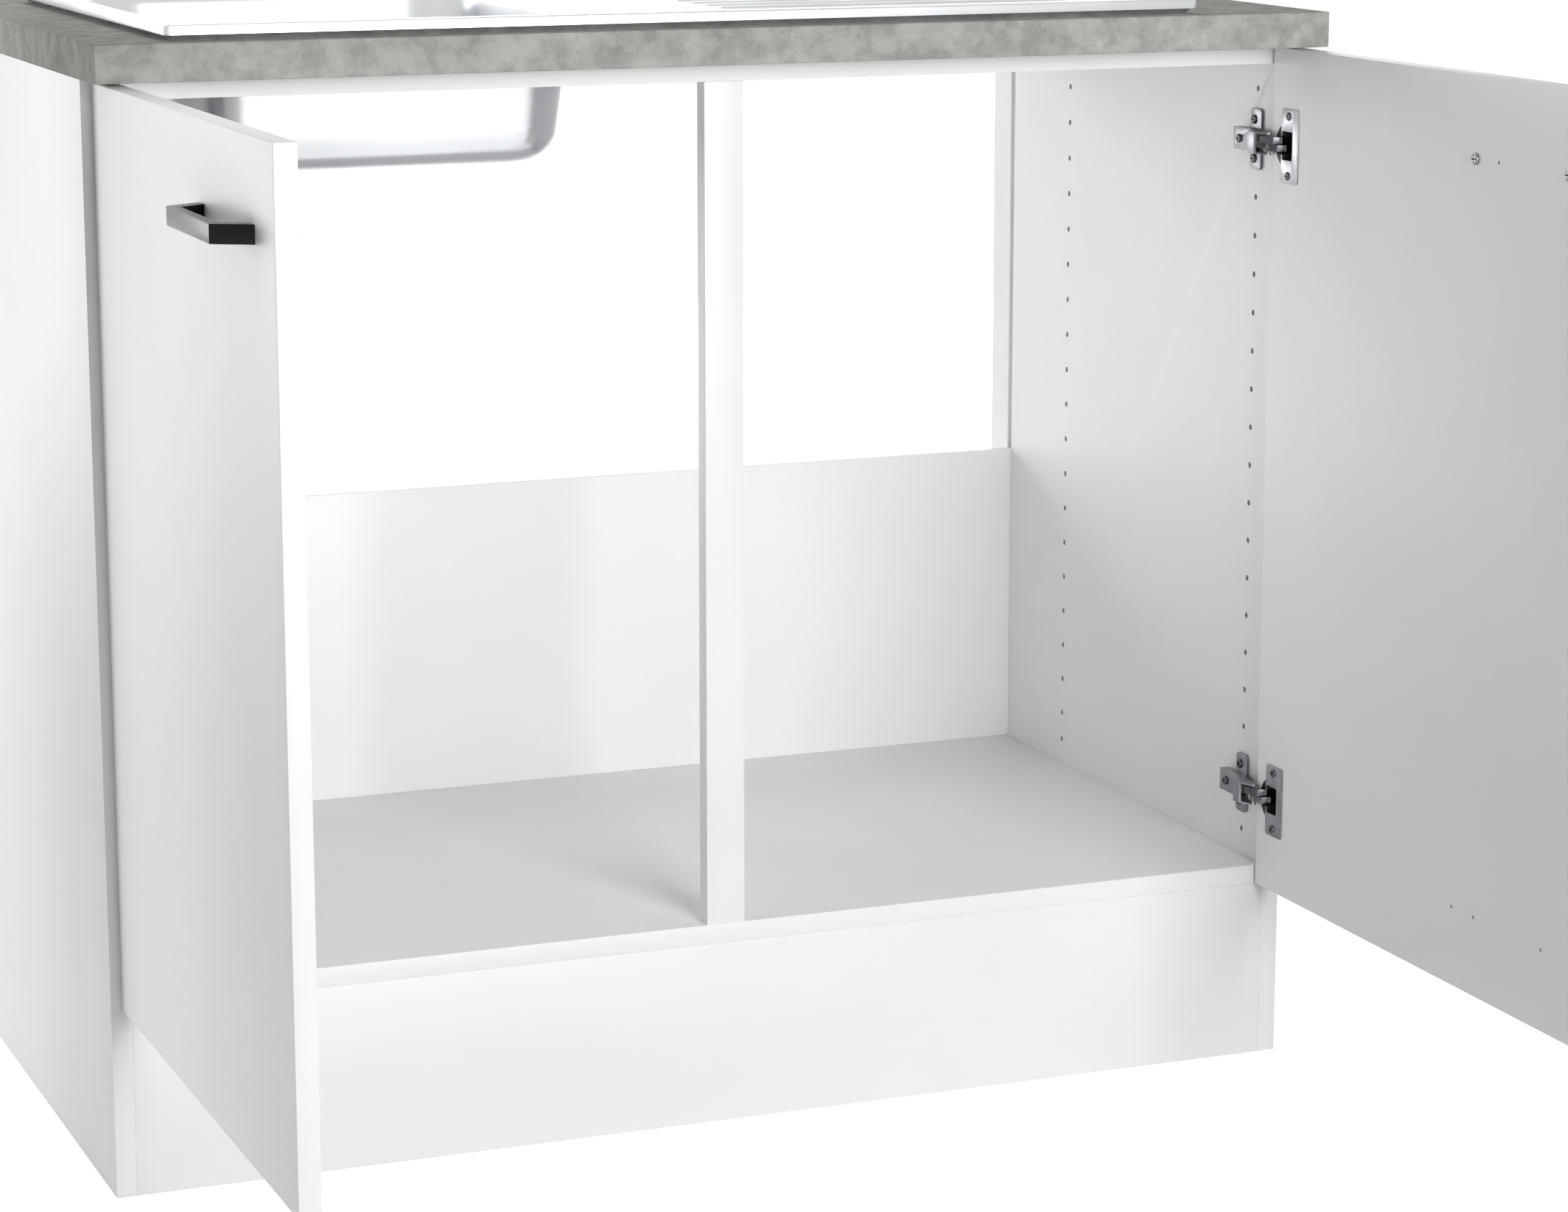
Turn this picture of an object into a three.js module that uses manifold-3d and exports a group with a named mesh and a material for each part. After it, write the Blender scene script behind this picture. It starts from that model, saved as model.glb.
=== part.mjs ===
// Sink base cabinet, 1 m wide, with two doors on concealed hinges, a worktop and a
// lay-on steel sink. Millimetres, +Z up. Both doors stand open at 90 degrees.
// The origin is on the floor under the middle of the plinth board: x = 0 is the middle
// of the cabinet, y = 0 the middle of the plinth's thickness, and the front faces -Y.

import * as THREE from 'three';
import { mergeVertices } from 'three/addons/utils/BufferGeometryUtils.js';
import Module from 'manifold-3d';

const wasm = await Module();
wasm.setup();

// ---- Driving dimensions ------------------------------------------------------------

// Carcase
const WIDTH = 1000;
const BODY_HEIGHT = 852;
const BODY_DEPTH = 550;
const BOARD = 16;
const PLINTH_HEIGHT = 149;
const FRONT_RAIL_DEPTH = 56;
const REAR_RAIL_DEPTH = 70;
const POST_WIDTH = 32;
const POST_DEPTH = 16;
const BACK_THICKNESS = 8;
const BACK_HEIGHT = 276;
const BACK_INSET = 36;
const GROOVE_DEPTH = 8;
const GROOVE_PLAY = 0.3;

// Rows of shelf-pin holes
const HOLE_PITCH = 32;
const HOLE_RADIUS = 2.5;
const HOLE_DEPTH = 11;
const HOLE_SETBACK = 37;
const HOLE_ROW_STEP = 352;
const EXTRA_HOLE_STEP = 25;

// Worktop
const TOP_THICKNESS = 28;
const TOP_OVERHANG = 50;
const TOP_CHAMFER = 1;

// Sink
const SINK_LEFT_MARGIN = 55;
const SINK_RIGHT_MARGIN = 110;
const SINK_SETBACK = 16;
const SINK_REAR_MARGIN = 84;
const SINK_HEIGHT = 12;
const SINK_CORNER = 5;
const LEAST_CORNER = 2;
const SHEET = 1;
const BEAD_WIDTH = 12;
const DECK_DROP = 6;
const CUTOUT_LAP = 15;
const BOWL_WIDTH = 326;
const BOWL_LENGTH = 350;
const BOWL_DEPTH = 122;
const BOWL_LEFT_MARGIN = 36;
const BOWL_CORNER = 60;
const BOWL_TAPER = 12;
const BOWL_FOOT_RADIUS = 28;
const BOWL_LIP_RADIUS = 8;
const BOWL_CLEARANCE = 10;
const DRAIN_RADIUS = 45;
const DRAINER_GAP = 108;
const DRAINER_MARGIN = 48;
const RIDGE_PITCH = 32.5;
const RIDGE_WIDTH = 8;
const RIDGE_HEIGHT = 2;

// Doors
const DOOR_THICKNESS = 16;
const DOOR_BOTTOM_LAP = 15;
const DOOR_TOP_GAP = 2;
const DOOR_SIDE_GAP = 1.5;
const DOOR_CHAMFER = 0.6;
const OPEN_INWARD = 8;
const OPEN_EDGE_GAP = 4;

// Door handle
const HANDLE_PITCH = 128;
const HANDLE_SHORT_PITCH = 96;
const HANDLE_EDGE_DISTANCE = 54;
const HANDLE_TOP_DISTANCE = 62;
const HANDLE_PROJECTION = 26;
const HANDLE_HEIGHT = 13;
const HANDLE_FOOT = 14;
const HANDLE_SLANT = 15;
const HANDLE_BAR = 8;
const HANDLE_SCREW_RADIUS = 2;
const HANDLE_SCREW_LENGTH = 22;
const HANDLE_HEAD_RADIUS = 4.5;
const HANDLE_HEAD_HEIGHT = 2.4;
const PILOT_RADIUS = 1.5;
const PILOT_DEPTH = 1.5;

// A screw's drive recess, as shares of its head's radius and height
const RECESS_WIDTH = 0.4;
const RECESS_DEPTH = 0.6;

// Concealed hinge
const HINGE_END_DISTANCE = 78;
const CUP_RADIUS = 17.5;
const CUP_DEPTH = 12.5;
const CUP_EDGE_DISTANCE = 6;
const CUP_PLAY = 0.3;
const FLANGE_THICKNESS = 1.2;
const FLANGE_HEIGHT = 60;
const FLANGE_NEAR = 6.5;
const FLANGE_FAR = 20.5;
const POCKET_HALF_NARROW = 7;
const POCKET_HALF_WIDE = 11.5;
const POCKET_FAR = 11.5;
const POCKET_DEPTH = 11.2;
const CUP_SCREW_OFFSET = 5.5;
const CUP_SCREW_PITCH = 48;
const CUP_SCREW_RADIUS = 1.9;
const CUP_SCREW_LENGTH = 9;
const CUP_HEAD_RADIUS = 3.4;
const CUP_HEAD_HEIGHT = 1.5;

const PLATE_FRONT = 26;
const PLATE_REAR = 44;
const PLATE_HALF_HEIGHT = 25;
const PLATE_THICKNESS = 2.5;
const BLOCK_FRONT = 22;
const BLOCK_REAR = 52;
const BLOCK_HALF_HEIGHT = 6.5;
const BLOCK_HEIGHT = 10;
const PLATE_SCREW_RADIUS = 2.2;
const PLATE_SCREW_LENGTH = 10.5;
const PLATE_HEAD_RADIUS = 3.8;
const PLATE_HEAD_HEIGHT = 2;
const ARM_SCREW_RADIUS = 2;
const ARM_SCREW_SETBACK = 46;
const ARM_SCREW_LENGTH = 7;
const ARM_HEAD_RADIUS = 3.6;
const ARM_HEAD_HEIGHT = 2;

const ARM_SHEET = 1.5;
const ARM_HALF_WIDTH = 9;
const ARM_REAR = 56;
const NOSE_FRONT = 4;
const NOSE_REAR = 14;
const NOSE_HEIGHT = 21;
const CHEEK_SIDE = 2.8;
const WEB_STEP = 0.6;

// Link pivots and bends. On the arm they are measured in from the side board's inner face
// and back from the front plane, on the door in from its hinge edge and up from its inner face.
const OUTER_ARM_PIVOT = [16.79, 5.73];
const OUTER_CUP_PIVOT = [10.5, -2.5];
const OUTER_BEND = [9.5, 4.5];
const INNER_ARM_PIVOT = [12.77, -5.74];
const INNER_CUP_PIVOT = [12.5, -5.5];
const INNER_BEND = [11, 1.5];
const PIN_RADIUS = 1.2;
const PIN_PLAY = 0.3;
const LINK_EYE_RADIUS = 2.3;
const LINK_HALF_THICKNESS = 1.4;
const LINK_NEAR = 0.5;
const LINK_FAR = 6;
const PIN_START = 0.2;

// Running gap between neighbours that are cut or turned
const GAP = 0.3;

// How far a cutter runs past the face that it opens
const PAST = 1;

// ---- Values worked out from them ----------------------------------------------------

const FRONT = -BOARD / 2;
const REAR = FRONT + BODY_DEPTH;
const HALF = WIDTH / 2;
const SIDE_INNER = HALF - BOARD;
const FLOOR_TOP = PLINTH_HEIGHT + BOARD;
const RAIL_BOTTOM = BODY_HEIGHT - BOARD;
const TOP_UPPER = BODY_HEIGHT + TOP_THICKNESS;

const DOOR_BOTTOM = FLOOR_TOP - DOOR_BOTTOM_LAP;
const DOOR_TOP = BODY_HEIGHT - DOOR_TOP_GAP;
const DOOR_WIDTH = HALF - 2 * DOOR_SIDE_GAP;
const HINGE_HEIGHTS = { lower: DOOR_BOTTOM + HINGE_END_DISTANCE, upper: DOOR_TOP - HINGE_END_DISTANCE };
const HOLE_FIRST = HINGE_HEIGHTS.lower - HOLE_PITCH / 2;
const HOLE_LAST = HINGE_HEIGHTS.upper + HOLE_PITCH / 2;

const CUP_X = CUP_EDGE_DISTANCE + CUP_RADIUS;
const HANDLE_Z = DOOR_TOP - HANDLE_TOP_DISTANCE;

// ---- Materials ----------------------------------------------------------------------

function paint(color, roughness, metalness = 0) {
  return new THREE.MeshStandardMaterial({ color, roughness, metalness });
}

const WHITE_BOARD = paint(0xf1f1f2, 0.55);
const CONCRETE_LAMINATE = paint(0xa9a9a5, 0.6);
const SINK_STEEL = paint(0xc9cbcc, 0.25, 1);
const HINGE_STEEL = paint(0xa8a9ab, 0.35, 1);
const CUP_STEEL = paint(0x9c9da0, 0.4, 1);
const HANDLE_BLACK = paint(0x161616, 0.4, 0.3);
const SCREW_STEEL = paint(0x8d8e90, 0.35, 1);

// ---- Shape helpers --------------------------------------------------------------------

function box(x0, x1, y0, y1, z0, z1) {
  const geometry = new THREE.BoxGeometry(x1 - x0, y1 - y0, z1 - z0);
  return geometry.translate((x0 + x1) / 2, (y0 + y1) / 2, (z0 + z1) / 2);
}

function outline(points) {
  return new THREE.Shape(points.map(([x, y]) => new THREE.Vector2(x, y)));
}

// A plan outline carried straight up from z0 to z1.
function upright(shape, z0, z1, curveSegments = 6) {
  const geometry = new THREE.ExtrudeGeometry(shape, { depth: z1 - z0, bevelEnabled: false, curveSegments });
  return geometry.translate(0, 0, z0);
}

// A board with its long edges broken by a small chamfer.
function chamferedBoard(x0, x1, y0, y1, z0, z1, chamfer) {
  const shape = outline([
    [x0 + chamfer, z0 + chamfer], [x1 - chamfer, z0 + chamfer],
    [x1 - chamfer, z1 - chamfer], [x0 + chamfer, z1 - chamfer],
  ]);
  const geometry = new THREE.ExtrudeGeometry(shape, {
    depth: y1 - y0 - 2 * chamfer, bevelEnabled: true,
    bevelThickness: chamfer, bevelSize: chamfer, bevelSegments: 1,
  });
  return geometry.rotateX(Math.PI / 2).translate(0, y1 - chamfer, 0);
}

// A round bar or hole along X, Y or Z from one end to the other.
function round(radius, axis, from, to, [a, b], sides = 12) {
  const geometry = new THREE.CylinderGeometry(radius, radius, to - from, sides);
  const middle = (from + to) / 2;
  if (axis === 'x') return geometry.rotateZ(Math.PI / 2).translate(middle, a, b);
  if (axis === 'y') return geometry.translate(a, middle, b);
  return geometry.rotateX(Math.PI / 2).translate(a, b, middle);
}

function roundedRectangle(x0, x1, y0, y1, radius) {
  const shape = new THREE.Shape();
  shape.moveTo(x0 + radius, y0);
  shape.lineTo(x1 - radius, y0);
  shape.absarc(x1 - radius, y0 + radius, radius, -Math.PI / 2, 0, false);
  shape.lineTo(x1, y1 - radius);
  shape.absarc(x1 - radius, y1 - radius, radius, 0, Math.PI / 2, false);
  shape.lineTo(x0 + radius, y1);
  shape.absarc(x0 + radius, y1 - radius, radius, Math.PI / 2, Math.PI, false);
  shape.lineTo(x0, y0 + radius);
  shape.absarc(x0 + radius, y0 + radius, radius, Math.PI, 1.5 * Math.PI, false);
  return shape;
}

// A closed form through rings of equal point count, lowest ring first.
function loft(rings) {
  const count = rings[0].length;
  const positions = rings.flat();
  const index = [];
  for (let ring = 0; ring < rings.length - 1; ring += 1) {
    for (let i = 0; i < count; i += 1) {
      const a = ring * count + i;
      const b = ring * count + (i + 1) % count;
      index.push(a, b, b + count, a, b + count, a + count);
    }
  }
  const top = (rings.length - 1) * count;
  for (let i = 1; i < count - 1; i += 1) {
    index.push(0, i + 1, i);
    index.push(top, top + i, top + i + 1);
  }
  const geometry = new THREE.BufferGeometry();
  geometry.setAttribute('position', new THREE.Float32BufferAttribute(positions.flat(), 3));
  geometry.setIndex(index);
  return geometry;
}

// A closed mesh as a solid that can be joined and cut.
function solid(geometry) {
  const bare = geometry.clone();
  bare.deleteAttribute('normal');
  bare.deleteAttribute('uv');
  const merged = mergeVertices(bare, 1e-4);
  return new wasm.Manifold(new wasm.Mesh({
    numProp: 3,
    vertProperties: new Float32Array(merged.attributes.position.array),
    triVerts: new Uint32Array(merged.index.array),
  }));
}

function asSolid(shape) {
  return shape.isBufferGeometry ? solid(shape) : shape;
}

function join(first, ...others) {
  return others.reduce((sum, other) => sum.add(asSolid(other)), asSolid(first));
}

function cut(first, ...others) {
  return others.reduce((rest, other) => rest.subtract(asSolid(other)), asSolid(first));
}

function asGeometry(shape) {
  if (shape.isBufferGeometry) return shape;
  const { vertProperties, triVerts } = shape.getMesh();
  const geometry = new THREE.BufferGeometry();
  geometry.setAttribute('position', new THREE.BufferAttribute(new Float32Array(vertProperties), 3));
  geometry.setIndex(new THREE.BufferAttribute(new Uint32Array(triVerts), 1));
  return geometry;
}

// The same piece for the other side of the cabinet.
function mirrored(geometry) {
  const copy = mergeVertices(geometry.clone().scale(-1, 1, 1));
  const index = copy.index.array;
  for (let i = 0; i < index.length; i += 3) {
    [index[i + 1], index[i + 2]] = [index[i + 2], index[i + 1]];
  }
  return copy;
}

const cabinet = new THREE.Group();

function place(name, shape, material, parent = cabinet) {
  const source = asGeometry(shape);
  const geometry = source.index ? source.toNonIndexed() : source.clone();
  geometry.deleteAttribute('normal');
  geometry.computeVertexNormals();
  const mesh = new THREE.Mesh(geometry, material);
  mesh.name = name;
  parent.add(mesh);
  return mesh;
}

// ---- Carcase ---------------------------------------------------------------------------

// Two rows of blind holes. The front row also takes the screws of the mounting plates.
function shelfHoles() {
  const heights = [HOLE_FIRST - EXTRA_HOLE_STEP];
  for (let z = HOLE_FIRST; z < HOLE_LAST + 1; z += HOLE_PITCH) heights.push(z);
  heights.push(heights.at(-1) + EXTRA_HOLE_STEP);
  const plateHoles = Object.values(HINGE_HEIGHTS).flatMap((z) => [z - HOLE_PITCH / 2, z + HOLE_PITCH / 2]);
  const clearOfPlates = (z) => plateHoles.every((hole) => Math.abs(z - hole) > HOLE_PITCH / 2);
  const rows = [
    [FRONT + HOLE_SETBACK, [...plateHoles, ...heights.filter(clearOfPlates)]],
    [FRONT + HOLE_SETBACK + HOLE_ROW_STEP, heights],
  ];
  const from = -SIDE_INNER - HOLE_DEPTH;
  const to = -SIDE_INNER + PAST;
  return rows.flatMap(([y, levels]) => levels.map((z) => round(HOLE_RADIUS, 'x', from, to, [y, z], 8)));
}

function leftSide() {
  const board = box(-HALF, -SIDE_INNER, FRONT, REAR, 0, BODY_HEIGHT);
  const groove = box(
    -SIDE_INNER - GROOVE_DEPTH, -SIDE_INNER + PAST,
    REAR - BACK_INSET - BACK_THICKNESS - GROOVE_PLAY, REAR - BACK_INSET + GROOVE_PLAY,
    FLOOR_TOP, BODY_HEIGHT + PAST,
  );
  return cut(board, groove, ...shelfHoles());
}

function makeCarcase() {
  const side = asGeometry(leftSide());
  place('side_panel_left', side, WHITE_BOARD);
  place('side_panel_right', mirrored(side), WHITE_BOARD);
  place('plinth_board', box(-SIDE_INNER, SIDE_INNER, FRONT, FRONT + BOARD, 0, PLINTH_HEIGHT), WHITE_BOARD);
  place('bottom_panel', box(-SIDE_INNER, SIDE_INNER, FRONT, REAR, PLINTH_HEIGHT, FLOOR_TOP), WHITE_BOARD);
  place('front_rail', box(
    -SIDE_INNER, SIDE_INNER, FRONT, FRONT + FRONT_RAIL_DEPTH, RAIL_BOTTOM, BODY_HEIGHT,
  ), WHITE_BOARD);
  place('rear_rail', box(
    -SIDE_INNER, SIDE_INNER, REAR - REAR_RAIL_DEPTH, REAR, RAIL_BOTTOM, BODY_HEIGHT,
  ), WHITE_BOARD);
  place('centre_post', box(
    -POST_WIDTH / 2, POST_WIDTH / 2, FRONT, FRONT + POST_DEPTH, FLOOR_TOP, RAIL_BOTTOM,
  ), WHITE_BOARD);
  const backReach = SIDE_INNER + GROOVE_DEPTH - GROOVE_PLAY;
  place('back_panel', box(
    -backReach, backReach, REAR - BACK_INSET - BACK_THICKNESS, REAR - BACK_INSET,
    FLOOR_TOP, FLOOR_TOP + BACK_HEIGHT,
  ), WHITE_BOARD);
}

// ---- Worktop and sink --------------------------------------------------------------------

const SINK_LEFT = -HALF + SINK_LEFT_MARGIN;
const SINK_RIGHT = HALF - SINK_RIGHT_MARGIN;
const SINK_FRONT = FRONT - TOP_OVERHANG + SINK_SETBACK;
const SINK_REAR = REAR - SINK_REAR_MARGIN;
const BEAD_TOP = TOP_UPPER + SINK_HEIGHT;
const DECK_TOP = BEAD_TOP - DECK_DROP;
const BOWL_LEFT = SINK_LEFT + BOWL_LEFT_MARGIN;
const BOWL_FRONT = FRONT + FRONT_RAIL_DEPTH + BOWL_CLEARANCE;
const BOWL_FLOOR = BEAD_TOP - BOWL_DEPTH;
const DRAINER_LEFT = BOWL_LEFT + BOWL_WIDTH + DRAINER_GAP;
const DRAINER_RIGHT = SINK_RIGHT - BEAD_WIDTH - DRAINER_MARGIN;
const RIDGE_COUNT = Math.floor(BOWL_LENGTH / RIDGE_PITCH) + 1;

function sinkPlan(inset) {
  return roundedRectangle(
    SINK_LEFT + inset, SINK_RIGHT - inset, SINK_FRONT + inset, SINK_REAR - inset,
    Math.max(SINK_CORNER - inset, LEAST_CORNER),
  );
}

function makeWorktop() {
  const slab = chamferedBoard(
    -HALF, HALF, FRONT - TOP_OVERHANG, REAR, BODY_HEIGHT, TOP_UPPER, TOP_CHAMFER,
  );
  const opening = upright(sinkPlan(CUTOUT_LAP), BODY_HEIGHT - PAST, TOP_UPPER + PAST);
  place('worktop', cut(slab, opening), CONCRETE_LAMINATE);
}

// One level of the bowl: a rounded rectangle drawn in by inset at height z.
function bowlRing(inset, z, cornerSteps = 5) {
  const x0 = BOWL_LEFT + inset;
  const x1 = BOWL_LEFT + BOWL_WIDTH - inset;
  const y0 = BOWL_FRONT + inset;
  const y1 = BOWL_FRONT + BOWL_LENGTH - inset;
  const radius = Math.max(BOWL_CORNER - inset, LEAST_CORNER);
  const centres = [[x1 - radius, y0 + radius], [x1 - radius, y1 - radius],
    [x0 + radius, y1 - radius], [x0 + radius, y0 + radius]];
  return centres.flatMap(([cx, cy], quarter) => Array.from({ length: cornerSteps + 1 }, (_, step) => {
    const angle = (quarter - 1 + step / cornerSteps) * Math.PI / 2;
    return [cx + radius * Math.cos(angle), cy + radius * Math.sin(angle), z];
  }));
}

// The bowl's form for one face of its sheet: thickness 0 is the outside, SHEET the inside.
function bowlForm(thickness, top) {
  const foot = BOWL_FOOT_RADIUS - thickness;
  const floor = BOWL_FLOOR + thickness - SHEET;
  const lip = BOWL_LIP_RADIUS;
  const deck = DECK_TOP - SHEET + thickness;
  const rings = [];
  for (const turn of [0, 1, 2, 3]) {
    const angle = turn / 3 * Math.PI / 2;
    const inset = BOWL_TAPER + thickness + foot * (1 - Math.sin(angle));
    rings.push(bowlRing(inset, floor + foot * (1 - Math.cos(angle))));
  }
  for (const turn of [0, 1, 2]) {
    const angle = turn / 2 * Math.PI / 2;
    const inset = thickness - lip * (1 - Math.cos(angle));
    rings.push(bowlRing(inset, deck - lip * (1 - Math.sin(angle))));
  }
  if (top > deck) rings.push(bowlRing(thickness - lip, top));
  return loft(rings);
}

// The drainer's ridges run towards the bowl and are spread about its middle.
function drainerRidge(index) {
  const y = BOWL_FRONT + BOWL_LENGTH / 2 + (index - (RIDGE_COUNT - 1) / 2) * RIDGE_PITCH;
  const section = outline([
    [-RIDGE_WIDTH / 2, -SHEET / 2], [RIDGE_WIDTH / 2, -SHEET / 2],
    [RIDGE_WIDTH / 4, RIDGE_HEIGHT], [-RIDGE_WIDTH / 4, RIDGE_HEIGHT],
  ]);
  const length = DRAINER_RIGHT - DRAINER_LEFT;
  const geometry = new THREE.ExtrudeGeometry(section, { depth: length, bevelEnabled: false });
  return geometry.rotateX(Math.PI / 2).rotateZ(Math.PI / 2).translate(DRAINER_LEFT, y, DECK_TOP);
}

function makeSink() {
  const skirt = upright(sinkPlan(0), TOP_UPPER, BEAD_TOP);
  const hollowBead = cut(
    upright(sinkPlan(SHEET), TOP_UPPER - PAST, BEAD_TOP - SHEET),
    upright(sinkPlan(BEAD_WIDTH - SHEET), TOP_UPPER - 2 * PAST, BEAD_TOP),
  );
  const underDeck = upright(sinkPlan(SHEET), TOP_UPPER - PAST, DECK_TOP - SHEET);
  const overDeck = upright(sinkPlan(BEAD_WIDTH), DECK_TOP, BEAD_TOP + PAST);
  const tray = cut(skirt, hollowBead, underDeck, overDeck);
  const ridges = Array.from({ length: RIDGE_COUNT }, (_, index) => drainerRidge(index));
  const drainX = BOWL_LEFT + BOWL_WIDTH / 2;
  const drainY = BOWL_FRONT + BOWL_LENGTH / 2;
  const drain = round(
    DRAIN_RADIUS, 'z', BOWL_FLOOR - SHEET - PAST, BOWL_FLOOR + PAST, [drainX, drainY], 24,
  );
  const shell = join(tray, bowlForm(0, 0), ...ridges);
  place('sink', cut(shell, bowlForm(SHEET, BEAD_TOP + PAST), drain), SINK_STEEL);
}

// ---- Doors ---------------------------------------------------------------------------------

// A door is drawn closed, from its hinge edge (x = 0) and its inner face (y = 0), with
// y towards the room negative. hang() turns that drawing to the open door's place, which
// the hinges fix from the side board's inner face and the front plane.
const OPEN_EDGE_Y = FRONT - OPEN_EDGE_GAP;
const OPEN_INNER_X = -SIDE_INNER + OPEN_INWARD;

// Closed drawing (x, y) to the open left door: x runs towards the room, y towards the side.
function openPoint([x, y]) {
  return [OPEN_INNER_X + y, OPEN_EDGE_Y - x];
}

function hang(geometry) {
  return asGeometry(geometry).clone().rotateZ(-Math.PI / 2).translate(OPEN_INNER_X, OPEN_EDGE_Y, 0);
}

const HANDLE_OUTER_X = DOOR_WIDTH - HANDLE_EDGE_DISTANCE;
const HANDLE_HOLES = [HANDLE_OUTER_X, HANDLE_OUTER_X - HANDLE_PITCH];
const PILOT_HOLES = [HANDLE_OUTER_X, HANDLE_OUTER_X - HANDLE_SHORT_PITCH, HANDLE_OUTER_X - HANDLE_PITCH];

function doorBoard() {
  const board = chamferedBoard(
    0, DOOR_WIDTH, -DOOR_THICKNESS, 0, DOOR_BOTTOM, DOOR_TOP, DOOR_CHAMFER,
  );
  const cuts = [];
  for (const z of Object.values(HINGE_HEIGHTS)) {
    cuts.push(round(CUP_RADIUS + CUP_PLAY, 'y', -CUP_DEPTH - CUP_PLAY, PAST, [CUP_X, z], 28));
    for (const side of [-1, 1]) {
      const at = [CUP_X + CUP_SCREW_OFFSET, z + side * CUP_SCREW_PITCH / 2];
      cuts.push(round(CUP_SCREW_RADIUS + GAP, 'y', -CUP_SCREW_LENGTH - GAP, PAST, at, 8));
    }
  }
  for (const x of HANDLE_HOLES) {
    cuts.push(round(HANDLE_SCREW_RADIUS + GAP, 'y', -DOOR_THICKNESS - PAST, PAST, [x, HANDLE_Z], 12));
  }
  const pilotZ = DOOR_BOTTOM + HANDLE_TOP_DISTANCE;
  for (const at of [...PILOT_HOLES.map((x) => [x, pilotZ]), [PILOT_HOLES[1], HANDLE_Z]]) {
    cuts.push(round(PILOT_RADIUS, 'y', -PILOT_DEPTH, PAST, at, 8));
  }
  return cut(board, ...cuts);
}

// A flat bow handle: a straight bar on two feet that spread towards the door.
function handleBow() {
  const middle = HANDLE_OUTER_X - HANDLE_PITCH / 2;
  const foot = (HANDLE_PITCH + HANDLE_FOOT) / 2;
  const reach = -DOOR_THICKNESS - HANDLE_PROJECTION;
  const seat = -DOOR_THICKNESS;
  const inner = reach + HANDLE_BAR;
  const shoulder = foot - HANDLE_SLANT;
  const bow = outline([
    [middle - foot, seat], [middle - shoulder, reach], [middle + shoulder, reach], [middle + foot, seat],
    [middle + foot - HANDLE_FOOT, seat], [middle + shoulder - HANDLE_FOOT, inner],
    [middle - shoulder + HANDLE_FOOT, inner], [middle - foot + HANDLE_FOOT, seat],
  ]);
  const bar = upright(bow, HANDLE_Z - HANDLE_HEIGHT / 2, HANDLE_Z + HANDLE_HEIGHT / 2);
  const tip = HANDLE_SCREW_LENGTH - DOOR_THICKNESS + GAP;
  const bores = HANDLE_HOLES.map((x) => (
    round(HANDLE_SCREW_RADIUS + GAP, 'y', seat - tip, seat + PAST, [x, HANDLE_Z], 12)
  ));
  return cut(bar, ...bores);
}

// A screw that points down the chosen axis, with its head's underside at seat.
function screw(axis, seat, at, { radius, length, headRadius, headHeight }, sides = 10) {
  const crown = seat + headHeight;
  const shank = round(radius, axis, seat - length, seat + headHeight / 2, at, sides);
  const head = round(headRadius, axis, seat, crown, at, sides + 2);
  const recess = round(
    headRadius * RECESS_WIDTH, axis, crown - headHeight * RECESS_DEPTH, crown + PAST, at, 6,
  );
  return cut(join(head, shank), recess);
}

const HANDLE_SCREW = {
  radius: HANDLE_SCREW_RADIUS, length: HANDLE_SCREW_LENGTH,
  headRadius: HANDLE_HEAD_RADIUS, headHeight: HANDLE_HEAD_HEIGHT,
};
const CUP_SCREW = {
  radius: CUP_SCREW_RADIUS, length: CUP_SCREW_LENGTH + FLANGE_THICKNESS,
  headRadius: CUP_HEAD_RADIUS, headHeight: CUP_HEAD_HEIGHT,
};
const PLATE_SCREW = {
  radius: PLATE_SCREW_RADIUS, length: PLATE_SCREW_LENGTH + PLATE_THICKNESS,
  headRadius: PLATE_HEAD_RADIUS, headHeight: PLATE_HEAD_HEIGHT,
};
const ARM_SCREW = {
  radius: ARM_SCREW_RADIUS, length: ARM_SCREW_LENGTH,
  headRadius: ARM_HEAD_RADIUS, headHeight: ARM_HEAD_HEIGHT,
};

// ---- Hinges ------------------------------------------------------------------------------------

// The cup is die-cast: a round body in the door's bore with a pocket for the links, a
// pivot pin across the pocket and a flange screwed to the door's inner face.
function hingeCup(z) {
  const body = round(CUP_RADIUS, 'y', -CUP_DEPTH, 0, [CUP_X, z], 28);
  const flange = box(
    CUP_X - FLANGE_NEAR, CUP_X + FLANGE_FAR, 0, FLANGE_THICKNESS,
    z - FLANGE_HEIGHT / 2, z + FLANGE_HEIGHT / 2,
  );
  const narrow = box(
    OUTER_CUP_PIVOT[0] - LINK_EYE_RADIUS - GAP, CUP_X + POCKET_FAR,
    -POCKET_DEPTH, FLANGE_THICKNESS + PAST,
    z - POCKET_HALF_NARROW, z + POCKET_HALF_NARROW,
  );
  const wide = box(
    CUP_X - FLANGE_NEAR, CUP_X + POCKET_FAR,
    -POCKET_DEPTH, FLANGE_THICKNESS + PAST,
    z - POCKET_HALF_WIDE, z + POCKET_HALF_WIDE,
  );
  const screwHoles = [-1, 1].map((side) => round(
    CUP_SCREW_RADIUS + GAP, 'y', -PAST, FLANGE_THICKNESS + PAST,
    [CUP_X + CUP_SCREW_OFFSET, z + side * CUP_SCREW_PITCH / 2], 10,
  ));
  const pin = round(PIN_RADIUS, 'z', z + PIN_START, z + POCKET_HALF_NARROW + PAST / 2, OUTER_CUP_PIVOT, 8);
  return join(cut(join(body, flange), narrow, wide, ...screwHoles), pin);
}

// Points on the left side's hinge arm: distance in from the side board, distance back.
function armPoint([inward, back]) {
  return [-SIDE_INNER + inward, FRONT + back];
}

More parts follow.
